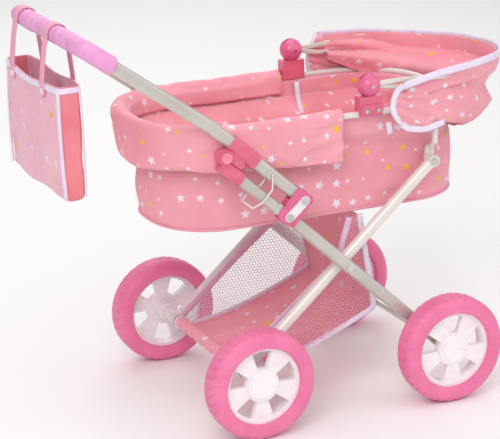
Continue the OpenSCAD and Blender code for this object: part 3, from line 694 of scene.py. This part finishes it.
shaped(tub, tub_folds)
thick(tub, 2.4)
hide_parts("bassinet_floor", "bassinet_wall_rear", "bassinet_wall_front")
piping = pipe("bassinet_piping", ring(BACK - 0.6, FRONT + 0.6, HALF + 0.6, 92.6, 297.0)[::2],
              1.7, strap_fabric, "bassinet", 8, True)
hem = ribbon("bassinet_top_hem", ring(RIM_BACK + 4.6, RIM_FRONT - 4.6, RIM_HALF - 4.6, 100.4,
                                      442)[::2], 6, 2.6, (0, 0, 1), strap_fabric, "bassinet", True)
rows = []
for z in np.arange(300, 421, 6):
    t = float(ease((z - 388) / 34))
    rows.append(ring(BACK - 13.8 * t + 5, FRONT - 19.2 * t - 5, HALF - 5 + 18.6 * t,
                     87 + 8.5 * t, z))
pts, faces, uvs = grid(rows, True, False, origin=(37, 52))
liner = piece("bassinet_liner", pts, faces, uvs, lining_painted_shade_fabric, "bassinet")
tidy_normals(liner)
smoother(liner)
shaped(liner, lambda p: 0.9 * crumple(p, 34, 11) * ease((p[:, 2] - 302) / 10) - 0.6)
thick(liner, 1.0)
edges = [ribbon("edge", [(52, side * y, z) for y, z in
                         ((96, 330), (96.5, 350), (97, 370), (97.5, 388), (101, 398),
                          (107, 408), (113, 420), (116, 432), (117, 441))],
                8, 2, (1, 0, 0), white_tape, "bassinet") for side in (NEAR, FAR)]
edges += [ribbon("edge", [(-118, side * y, z) for y, z in
                          ((96, 330), (96.5, 360), (97.5, 384), (101, 398), (107, 409),
                           (111, 418))], 4, 1.6, (1, 0, 0), lining_painted_shade_fabric, "bassinet")
          for side in (NEAR, FAR)]
edges = joined("liner_bindings", edges)

rows = [ring(BACK + 9 + k, FRONT - 9 - k, HALF - 9 - k, max(3, 83 - k), z) for k, z in
        ((88, 300), (60, 300), (30, 300), (8, 300.2), (1.5, 301.4), (0, 303.4), (1.5, 305.4),
         (6, 307), (16, 308.4), (36, 309.4), (60, 309.8), (88, 310))]
pts, faces, uvs = grid(rows, True, False)
across(rows, faces, uvs, 0)
across(rows, faces, uvs, -1)
pad = piece("base_pad", pts, faces, uvs, star_fabric, "bassinet")
tidy_normals(pad)
smoother(pad)
shaped(pad, lambda p: np.where(p[:, 2] > 304, 1.2 * crumple(p, 46, 21) - 1.6 * np.exp(
    -(((p[:, 0] + 130) % 65 - 32) / 4) ** 2), 0))

# ---------- cuff ----------

side_x = np.linspace(3, RIM_BACK + 105, 44, endpoint=False)
turns = np.radians(np.linspace(270, 180, 40, endpoint=False))
path, ways = [], []
for x in side_x:
    path.append((x, -RIM_HALF))
    ways.append((0, -1))
for t in turns:
    ways.append((math.cos(t), math.sin(t)))
    path.append((RIM_BACK + 105 + 105 * ways[-1][0], -23 + 105 * ways[-1][1]))
for y in np.linspace(-23, 0, 5):
    path.append((RIM_BACK, y))
    ways.append((-1, 0))
far_x = np.linspace(27, 3, 7, endpoint=False)       # the far end reaches the hood's clamp
path = np.array(path + [(x, -y) for x, y in path[-2::-1]] + [(x, RIM_HALF)
                                                            for x in far_x[::-1]])
ways = np.array(ways + [(x, -y) for x, y in ways[-2::-1]] + [(0, 1)] * len(far_x))
core = smooth_line([(8.2, 386), (9.2, 394), (9.6, 410), (9.4, 430), (8.8, 448), (6, 457),
                    (0.5, 460), (-5, 457), (-9.5, 448), (-11.2, 436), (-11.6, 426)], 30)
slope = np.gradient(core, axis=0)
slope /= np.linalg.norm(slope, axis=1, keepdims=True)
out_way = np.column_stack([slope[:, 1], -slope[:, 0]])
if out_way[4, 0] < 0:
    out_way = -out_way
outer = core + out_way * 2.2
inner = core - out_way * 2.0
lip = [core[-1] + slope[-1] * 1.9]
heel = [core[0] - slope[0] * 1.9]
section = np.concatenate([outer, lip, inner[::-1], heel])
low = np.clip((446 - section[:, 1]) / 60, 0, 1) * (section[:, 0] > 2)
far = np.linspace(0, 1, len(path))
drop = np.interp(far, (0, 0.16, 0.34, 0.5, 0.66, 0.84, 1), (-3, 2, 10, -5, 10, 2, -3))
tuck = np.interp(far, (0, 0.3, 0.42, 0.5, 0.58, 0.7, 1), (0, -1, -7, -9, -7, -1, 0))
rows = []
for p, n, d, inward in zip(path, ways, drop, tuck):
    reach = section[:, 0] + inward * low
    rows.append(np.column_stack([p[0] + n[0] * reach, p[1] + n[1] * reach,
                                 section[:, 1] + d * low]))
pts, faces, uvs = grid(rows, True, False, True)
cuff = piece("cuff_pad", pts, faces, uvs, star_fabric, "bassinet")
tidy_normals(cuff)
free = np.zeros(len(section))
free[1:len(outer) - 6] = 1
held = np.tile(1 - free, len(rows))
puffed(cuff, held, 2.5, 0.03, 4.0, 14)
shaped(cuff, lambda p: 1.7 * crumple(p, 30, 31, (1, 1, 0.8)) + 0.7 * crumple(p, 12, 32))
smoother(cuff)
co = np.array([v.co for v in cuff.data.vertices])
co[:, 1] = np.clip(co[:, 1], -0.1418, 0.1418)
cuff.data.vertices.foreach_set("co", co.ravel())
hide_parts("cuff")

# ---------- hood ----------

HOOD_HALF, HOOD_FRONT, HOOD_TURN = 141.0, 312.4, 118.0
cx = HOOD_FRONT - HOOD_TURN
span = HOOD_TURN * math.pi / 2
half_front = HOOD_HALF - HOOD_TURN


def hood_plan(along, start_x):
    """Plan point and outward way. along runs from -1 at the near end to 1 at the far end."""
    side = NEAR if along < 0 else FAR
    reach = abs(along) * 3
    if reach <= 0.3:
        s = reach / 0.3 * half_front
        return (HOOD_FRONT, side * s), (1, 0), side * s
    if reach <= 1.8:
        a = (reach - 0.3) / 1.5 * math.pi / 2
        way = (math.cos(a), side * math.sin(a))
        return ((cx + HOOD_TURN * way[0], side * half_front + HOOD_TURN * way[1]), way,
                side * (half_front + HOOD_TURN * a))
    t = (reach - 1.8) / 1.2
    x = cx + (start_x - cx) * t
    return (x, side * HOOD_HALF), (0, side), side * (half_front + span + cx - x)


def top_z(s):
    return np.interp(s, (-301, -294, -270, -243, -207, -160, -71, -30, 20, 107, 162, 231, 279,
                         331), (488, 491, 496, 501, 506, 510, 508, 507, 503, 498, 499, 507,
                                509, 511))


def low_z(s):
    return np.interp(abs(s), (0, 71, 150, 207, 234, 253, 271, 293), (382, 384, 396, 413, 422,
                                                                     418, 415, 420))


def low_d(s):
    return np.interp(abs(s), (0, 90, 150, 207, 234, 253, 293), (-75, -66, -44, -17, -3, -1, -1))


def hood_point(along, v, extra=0.0):
    start = float(np.interp(v, (0, 0.13, 0.32, 0.51, 0.7, 0.88, 1), (108, 96, 86, 83, 85, 94,
                                                                     100)))
    (x, y), way, s = hood_plan(along, start)
    low, high = low_z(s), top_z(s)
    upper = np.interp(abs(s), (100, 165, 189, 240, 287), (0.528, 0.6, 0.667, 0.775, 0.86))
    lower = np.interp(abs(s), (100, 165, 189, 240, 274), (0.22, 0.23, 0.25, 0.325, 0.56))
    w = float(np.interp(v, (0, lower, upper, 1), (0, 0.2, 0.528, 1)))
    fold = np.interp(w, (0, 0.08, 0.2, 0.333, 0.44, 0.528, 0.6, 0.73, 0.837, 0.92, 1),
                     (-12, -12, -14.5, -9, -16, -21.5, -17, -5, 0, 1.2, 0))
    depth = np.interp(abs(s), (90, 190, 280), (1, 0.55, 0.25))
    under = np.interp(w, (0, 0.08, 0.17, 0.244, 0.333), (1, 0.47, 0.2, 0.05, 0))
    d = fold * depth + (low_d(s) + 12 * depth) * under + extra
    return (x + way[0] * d, y + way[1] * d, low + (high - low) * v)


alongs = np.concatenate([np.linspace(-1, -0.6, 30), np.linspace(-0.6, -0.1, 34)[1:],
                         np.linspace(-0.1, 0.1, 10)[1:], np.linspace(0.1, 0.6, 34)[1:],
                         np.linspace(0.6, 1, 30)[1:]])
rows = [[hood_point(a, v) for a in alongs] for v in np.linspace(0, 1, 44)]
pts, faces, uvs = grid(rows, origin=(11, 5))
hood = piece("hood_sheet", pts, faces, uvs, star_fabric, "bassinet")
smoother(hood)


def hood_folds(p):
    inside = ease((p[:, 2] - 384) / 14) * ease((506 - p[:, 2]) / 12)
    side = ease((215 - p[:, 0]) / 60)
    rays = np.sin(np.arctan2(p[:, 2] - HINGE_Z, p[:, 0] - HINGE_X + 30) * 44
                  + np.sin(p[:, 0] / 26) * 0.9)
    gather = np.sin(np.arctan2(p[:, 1], p[:, 0] - 150) * 46 + p[:, 2] / 15)
    low = ease((430 - p[:, 2]) / 30)
    return inside * (1.6 * crumple(p, 27, 41) + 1.5 * rays * side - 1.7
                     + 1.5 * gather * low * (1 - side) + 0.7 * crumple(p, 11, 42))


shaped(hood, hood_folds)
thick(hood, 1.2, False)
del hood["wanted_body"]
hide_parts("hood_back_panel", "hood_middle_panel", "hood_front_panel")

edge_line = smooth_line([hood_point(a, 1.0) for a in alongs[::3]], 150)
binding = ribbon("hood_binding", edge_line - (0, 0, 3.6), 10, 3.4, (0, 0, 1), white_tape,
                 "hood_front")
for side, name in ((NEAR, "right"), (FAR, "left")):
    line = smooth_line([hood_point(side, v) for v in np.linspace(0.97, 0, 9)]
                       + [hood_point(side * a, 0.0) for a in (0.96, 0.92, 0.87, 0.82, 0.77,
                                                               0.72)], 70)
    trim = ribbon("hood_edge_" + name, line, 9, 3.2, (-0.7, 0, 0.75), white_tape, "bassinet")
    del trim["wanted_body"]
    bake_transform(trim)

rows = []
for k in np.linspace(0, 1, 8):
    rows.append([])
    for a in alongs[2:-2:2]:
        x, y, z = hood_point(a, 1.0, -4.6 - 1.2 * math.sin(k * math.pi))
        rows[-1].append((x, y, z - 3 - 27 * k))
pts, faces, uvs = grid(rows, origin=(90, 40))
band = piece("hood_inner_band", pts, faces, uvs, lining_painted_shade_fabric, "hood_front")
smoother(band)
shaped(band, lambda p: 0.5 * crumple(p, 24, 51))
thick(band, 0.9, False)

rows = []
for k, (d, z) in enumerate(((-6.4, -30), (-12, -31.5), (-24, -30.5), (-36, -30), (-46, -31),
                            (-53, -35), (-55, -42), (-51, -50), (-45, -57), (-41, -65),
                            (-39, -73))):
    rows.append([])
    for a in alongs[2:-2:2]:
        share = float(np.interp(abs(a), (0, 0.6, 1), (1, 1, 0.15)))
        x, y, high = hood_point(a, 1.0, -6 + (d + 6) * share)
        droop = float(np.interp(abs(a), (0, 0.5, 1), (17, 5, 0))) * min(1, k / 4)
        rows[-1].append((x, y, max(high - 30 + (z + 30) * share - droop, 424.0)))
pts, faces, uvs = grid(rows, origin=(130, 70))
shelf = piece("hood_lining", pts, faces, uvs, lining_painted_shade_fabric, "bassinet")
smoother(shelf)
shaped(shelf, lambda p: 1.3 * crumple(p, 24, 61) + 0.7 * crumple(p, 12, 62))
thick(shelf, 1.0, False)
del shelf["wanted_body"]


def hoop(name, drop, inward, slot_y, body, side_z):
    """A flat wire from one ball's slot, round inside the hood's front, to the other ball."""
    sides = []
    for side in (NEAR, FAR):
        run = [(HINGE_X + 2, side * slot_y, HINGE_Z - 0.5), (74, side * slot_y, side_z(74)),
               (94, side * (slot_y + 1), side_z(94)), (118, side * 135.4, side_z(118))]
        sides.append(run)
    middle = [hood_point(a, 1.0, inward) for a in np.linspace(-0.72, 0.72, 41)]
    middle = [(x, y, drop(x, z)) for x, y, z in middle]
    line = smooth_line(sides[0] + middle + sides[1][::-1], 150)
    return ribbon(name, line, 7, 1.8, (0, 0, 1), white_paint, body)


front_wire = hoop("hood_front_wire", lambda x, z: z - 11, -4.6, 129.2, "hood_front",
                  lambda x: HINGE_Z + (x - HINGE_X) * 0.035)
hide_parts("hood_front_hoop")
middle_wire = hoop("hood_middle_wire", lambda x, z: HINGE_Z - (x - HINGE_X) * 0.262, -19,
                   126.8, "hood_middle", lambda x: HINGE_Z - (x - HINGE_X) * 0.2)
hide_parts("hood_middle_hoop")
tabs = [ribbon("tab", [(78, side * 133.6, 432), (78.5, side * 135.5, 424),
                       (79, side * 136.4, 414)],
               9, 1.6, (1, 0, 0), clear_plastic, "bassinet") for side in (NEAR, FAR)]
tabs = joined("hood_tabs", tabs)

# ---------- basket ----------

BASKET = 107.6
corner = [(-157, 74.5), (-130, 76), (-90, 82), (-45, 94), (0, 110), (40, 126), (60, 134.5),
          (66, 141), (65, 152), (61, 180), (55, 215), (49, 250), (44, 280), (43.2, 288)]
side_line = smooth_line(corner, 64)
rows = [[(x, y, z - 5 * math.sin(math.pi * min(1, max(0, (x + 157) / 215)))
          * (1 - (y / BASKET) ** 2) * (z < 140)) for y in np.linspace(-BASKET, BASKET, 46)]
        for x, z in side_line]
pts, faces, uvs = grid(rows, origin=(60, 21))
floor_cloth = piece("basket_cloth", pts, faces, uvs, star_fabric, "rear_frame")
smoother(floor_cloth)


def basket_folds(p):
    edge = ease((BASKET - abs(p[:, 1])) / 16)
    pull = np.sin(p[:, 1] / 7.5 + np.sin(p[:, 0] / 33) * 2.2) * ease((-70 - p[:, 0]) / 60)
    return edge * (2.6 * crumple(p, 40, 71) + 0.8 * crumple(p, 14, 72)) + 1.6 * pull * edge


shaped(floor_cloth, basket_folds)
thick(floor_cloth, 1.2, False)
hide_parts("basket")


def net(side):
    """A net with six-sided holes, cut to the basket's side."""
    pitch = 5.4
    outline = [(-154, 79), (-110, 82), (-60, 92), (-20, 106), (30, 126), (62, 138), (64, 150),
               (55, 215), (43.5, 286), (26, 284), (5, 226), (-152, 93)]
    bm = bmesh.new()
    found = {}

    def corner_at(x, z):
        key = (round(x * 20), round(z * 20))
        if key not in found:
            bulge = 3.2 * math.sin(math.pi * min(1, max(0, (x + 150) / 210)))
            found[key] = bm.verts.new(at(x, side * (BASKET + 0.2 + bulge), z))
        return found[key]

    def inside(x, z):
        odd = False
        for (ax, az), (bx, bz) in zip(outline, outline[1:] + outline[:1]):
            if (az > z) != (bz > z) and x < (bx - ax) * (z - az) / (bz - az) + ax:
                odd = not odd
        return odd

    size = pitch / math.sqrt(3)
    for row in range(0, 48):
        z = 74 + row * size * 1.5
        for col in range(0, 44):
            x = -158 + (col + 0.5 * (row % 2)) * pitch
            if inside(x, z):
                loop = [corner_at(x + size * math.sin(math.pi / 3 * k),
                                  z + size * math.cos(math.pi / 3 * k)) for k in range(6)]
                bm.faces.new(loop)
    mesh = bpy.data.meshes.new("net")
    bm.to_mesh(mesh)
    bm.free()
    ob = bpy.data.objects.new("basket_net_" + ("right" if side < 0 else "left"), mesh)
    scene.collection.objects.link(ob)
    finish = net_pink if side < 0 else net_white
    mesh.materials.append(finish)
    ob["wanted_body"] = "rear_frame"
    wire = ob.modifiers.new("wire", "WIREFRAME")
    wire.thickness = 0.0013
    wire.use_even_offset = False
    baked(ob)
    return ob


for side in (NEAR, FAR):
    net(side)
trims = []
for side in (NEAR, FAR):
    top = smooth_line([(-158, side * (BASKET + 0.6), 92), (-110, side * (BASKET + 2.6), 131),
                       (-50, side * (BASKET + 4), 180), (4, side * (BASKET + 3), 225),
                       (16, side * (BASKET + 2), 256), (26, side * (BASKET + 0.6), 287)], 70)
    trims.append(ribbon("top", top, 9, 2.6, (0.5, 0, 1), lilac_tape, "rear_frame"))
    low = smooth_line([(x, side * (BASKET + 0.8), z + 1.5) for x, z in corner], 90)
    trims.append(ribbon("low", low, 8.5, 2.8, (-0.75, 0, 0.7), white_tape, "rear_frame"))
trims = joined("basket_bindings", trims)
turn_rows = []
for y in np.linspace(-BASKET, BASKET, 90):
    turn_rows.append([(REAR_HUB[0] + r * math.cos(a), y, REAR_HUB[1] + r * math.sin(a))
                      for a in np.linspace(0, 2 * math.pi, 28, endpoint=False)
                      for r in (8.6 + 0.9 * math.sin(y / 3.1 + 1.4 * math.sin(a * 2))
                                + 0.5 * math.sin(y / 1.7 + a),)])
pts, faces, uvs = grid(turn_rows, True, False)
sleeve = piece("basket_sleeve", pts, faces, uvs, star_fabric, "rear_frame")
tidy_normals(sleeve)
thick(sleeve, 1.0)
ends = []
for side in (NEAR, FAR):
    loop = [(REAR_HUB[0] + 9.4 * math.cos(a), side * (BASKET - 1.5),
             REAR_HUB[1] + 9.4 * math.sin(a)) for a in np.linspace(0, 2 * math.pi, 28,
                                                                     endpoint=False)]
    ends.append(pipe("end", loop, 1.5, white_tape, "rear_frame", 8, True))
ends = joined("sleeve_bindings", ends)

# ---------- tote bag ----------

BAG_TOP, BAG_TALL, BAG_MID = BAR[1] - 66, 165, 43


def bag_ring(t, inward=0.0):
    """A ring of the bag's wall; t runs from 0 at the top edge to 1 at the foot."""
    deep = 21.6 - 5.6 * t - inward
    wide = 107.2 - inward
    points, _ = plan(-deep, deep, wide, min(7.0, deep - 1), (14, 8, 60))
    y = points[:, 1]
    y = np.where(y < 0, y * (1 + 0.13 * t), y)
    sag = -5 * np.sin(np.pi * np.clip((y + 63) / 126, 0, 1)) * (1 - t) ** 3
    puff = 1 + 0.12 * math.sin(math.pi * t)
    x = points[:, 0] * puff * (1 - 0.25 * (abs(y) / 110) ** 4 * (1 - t))
    return np.column_stack([BAR[0] + x, BAG_MID + y, BAG_TOP - 0.6 - BAG_TALL * t + sag])


rows = [bag_ring(t) for t in np.linspace(0, 0.94, 32)]
rows += [bag_ring(0.975, 1.6), bag_ring(0.995, 4.5), bag_ring(1.0, 9), bag_ring(1.0, 13.5)]
pts, faces, uvs = grid(rows, True, False, origin=(15, 33))
across(rows, faces, uvs, -1)
bag = piece("tote_bag_shell", pts, faces, uvs, painted_light_bag_fabric, "tote_bag")
tidy_normals(bag)
smoother(bag)


def bag_folds(p):
    low = ease((BAG_TOP - 8 - p[:, 2]) / 22)
    hang = np.sin((p[:, 1] - BAG_MID) / 15 + np.sin(p[:, 2] / 35) * 1.2)
    return low * (3.0 * crumple(p, 52, 81, (1, 1, 0.55)) + 1.0 * crumple(p, 17, 82)
                  + 0.7 * hang)


shaped(bag, bag_folds)
thick(bag, 1.5)
bag.data.materials.append(gusset_shade_and_pocket_fabric)
for face in bag.data.polygons:              # both end gussets get the darker red fabric, painted shade of their inward fold
    if abs(face.normal.y) > 0.75:
        face.material_index = 1
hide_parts("tote_bag")
band_parts = [ribbon("rim", bag_ring(0.02, -0.5)[::2] + (0, 0, -2.5), 8, 3.0, (0, 0, 1),
                     white_tape, "tote_bag", True)]
for sx, sy in ((-1, -1), (-1, 1), (1, -1), (1, 1)):
    line = []
    for t in np.linspace(0.03, 0.96, 24):
        loop = bag_ring(t, -0.8)
        score = (loop[:, 0] - BAR[0]) * sx + (loop[:, 1] - BAG_MID) * sy
        line.append(loop[int(np.argmax(score))])
    line = smooth_line(line, 40)
    band_parts.append(ribbon("seam", line, 5.5, 2.2, (-sx * sy * 0.6, 1, 0), white_tape,
                             "tote_bag"))
bag_bands = joined("tote_bag_bindings", band_parts)

rows = [[(BAR[0] + 17.4 - 5.2 * (BAG_TOP - z) / BAG_TALL + 0.6 * math.sin(y / 9), y, z)
         for y in np.linspace(BAG_MID - 82, BAG_MID + 82, 60)]
        for z in np.linspace(BAG_TOP - 134, BAG_TOP - 32, 30)]
pts, faces, uvs = grid(rows, origin=(70, 9))
pocket = piece("inner_pocket", pts, faces, uvs, gusset_shade_and_pocket_fabric, "tote_bag")
shaped(pocket, lambda p: 0.5 * crumple(p, 26, 91))
thick(pocket, 1.0, False)
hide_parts("bag_pocket")
hem_line = [(BAR[0] + 15.8, y, BAG_TOP - 34) for y in np.linspace(BAG_MID - 82, BAG_MID + 82, 30)]
pocket_hem = ribbon("pocket_hem", hem_line, 7, 2.0, (0, 0, 1), white_tape, "tote_bag")

straps = []
for side in (-1, 1):
    y = BAG_MID + 63 * side
    line = [(BAR[0] - 23.2, y, BAG_TOP - 21), (BAR[0] - 23.2, y, BAG_TOP - 8),
            (BAR[0] - 23.0, y, BAG_TOP + 4), (BAR[0] - 21.4, y + 0.6, BAG_TOP + 18),
            (BAR[0] - 18.2, y + 1.0, BAR[1] - 22), (BAR[0] - 15.6, y + 0.8, BAR[1] - 8)]
    line += [(BAR[0] - 15.2 * math.cos(a), y, BAR[1] + 15.2 * math.sin(a))
             for a in np.radians((8, 40, 72, 108, 140, 172))]
    line += [(BAR[0] + 15.8, y + 0.5, BAR[1] - 8), (BAR[0] + 18.4, y + 1.1, BAR[1] - 22),
             (BAR[0] + 21.6, y + 0.6, BAG_TOP + 18), (BAR[0] + 23.0, y, BAG_TOP + 4),
             (BAR[0] + 23.2, y, BAG_TOP - 8), (BAR[0] + 23.2, y, BAG_TOP - 21)]
    straps.append(ribbon("strap", smooth_line(line, 120), 17, 1.5, (0, 1, 0), strap_fabric,
                         "tote_bag"))
straps = joined("bag_strap_loops", straps)
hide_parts("bag_straps")

# ---------- grip ----------


def on_bar(x, y, out=0.0):
    """A point in the handle's upper plane: x down the side tubes, y across."""
    c, s = math.cos(math.radians(35.8)), math.sin(math.radians(35.8))
    return (BAR[0] + x * c + out * s, y, BAR[1] - x * s + out * c)


line = [on_bar(42, -149), on_bar(32, -149)]
line += [on_bar(25 - 25 * math.sin(a), -124 - 25 * math.cos(a))
         for a in np.linspace(0, math.pi / 2, 12)]
line += [on_bar(0, y) for y in np.linspace(-110, 110, 17)]
line += [on_bar(25 - 25 * math.cos(a), 124 + 25 * math.sin(a))
         for a in np.linspace(0, math.pi / 2, 12)]
line += [on_bar(32, 149), on_bar(42, 149)]
centre = smooth_line(line, 220)
unit_rows = tube(centre, 1.0, 28)
mids = unit_rows.mean(1, keepdims=True)
run = np.arange(len(centre))
edge = np.minimum(run, len(centre) - 1 - run)
radius = 13.4 + 0.25 * np.exp(-((edge - 5) / 3) ** 2) - 2.2 * np.exp(-(edge / 1.1) ** 2)
rows = mids + (unit_rows - mids) * radius[:, None, None]
first = mids[:1] + (unit_rows[:1] - mids[:1]) * 9.9
last = mids[-1:] + (unit_rows[-1:] - mids[-1:]) * 9.9
pts, faces, uvs = grid(np.concatenate([first, rows, last]), True, False)
grip = piece("foam_grip", pts, faces, uvs, grip_foam, "handle")
tidy_normals(grip)
shaped(grip, lambda p: 0.22 * crumple(p, 16, 101))
smoother(grip)
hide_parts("grip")

# ---------- tyres ----------

corner_line = [(82.5 - 12 + 12 * math.sin(a), 21 - 12 + 12 * math.cos(a))
               for a in np.linspace(0, math.pi / 2, 9)]
half_section = [(58.7, 18.6), (59.6, 20.4), (62, 21), (65, 21), (68, 21)] + corner_line
half_section += [(82.5, h) for h in (7.4, 6.2, 5, 3.8, 2.6, 1.3)]
section = half_section + [(82.5, 0)] + [(r, -h) for r, h in half_section[::-1]]
section += [(58.7, -9), (58.7, 0), (58.7, 9)]
section = np.array(section)
TREAD_BLOCKS, TREAD_DEEP, TREAD_STEPS = 36, 1.1, 432
turns = np.linspace(0, 2 * math.pi, TREAD_STEPS, endpoint=False)
for name in ("front_left", "front_right", "rear_left", "rear_right"):
    low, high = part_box("tyre_" + name)
    mid = (low + high) * 500
    rows = []
    for t in turns:
        r, h = section[:, 0].copy(), section[:, 1]
        phase = (t / (2 * math.pi) * TREAD_BLOCKS + np.abs(h) / 30) % 1
        groove = ease((0.13 - np.abs(phase - 0.5)) / 0.05)
        reach = ease((r - 73) / 5) * ease((np.abs(h) - 2.0) / 1.5)
        r -= TREAD_DEEP * groove * reach
        middle = ease((1.6 - np.abs(h)) / 0.8) * (r > 70)
        r -= 0.7 * middle
        rows.append(np.column_stack([mid.x - SHIFT + r * math.cos(t), mid.y + h,
                                     mid.z + r * math.sin(t)]))
    pts, faces, uvs = grid(rows, True, True)
    tyre = piece("tyre_" + name + "_foam", pts, faces, uvs, tyre_foam, "wheel_" + name)
    tidy_normals(tyre)
    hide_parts("tyre_" + name)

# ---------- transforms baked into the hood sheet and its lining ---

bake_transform(hood)
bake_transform(shelf)

# ---------- floor ----------

g = Graph("floor", Roughness=0.75)
speck = g.noise(g.here(), 5, 2)
g.set("Base Color", g.mix(speck, (0.95, 0.948, 0.945, 1), (0.93, 0.928, 0.925, 1)))
bpy.ops.mesh.primitive_grid_add(size=9, x_subdivisions=4, y_subdivisions=4)
floor = bpy.context.object
floor.name = "floor"
floor.data.materials.append(g.mat)

for ob in list(scene.objects):
    if "wanted_body" in ob:
        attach(ob, ob["wanted_body"])
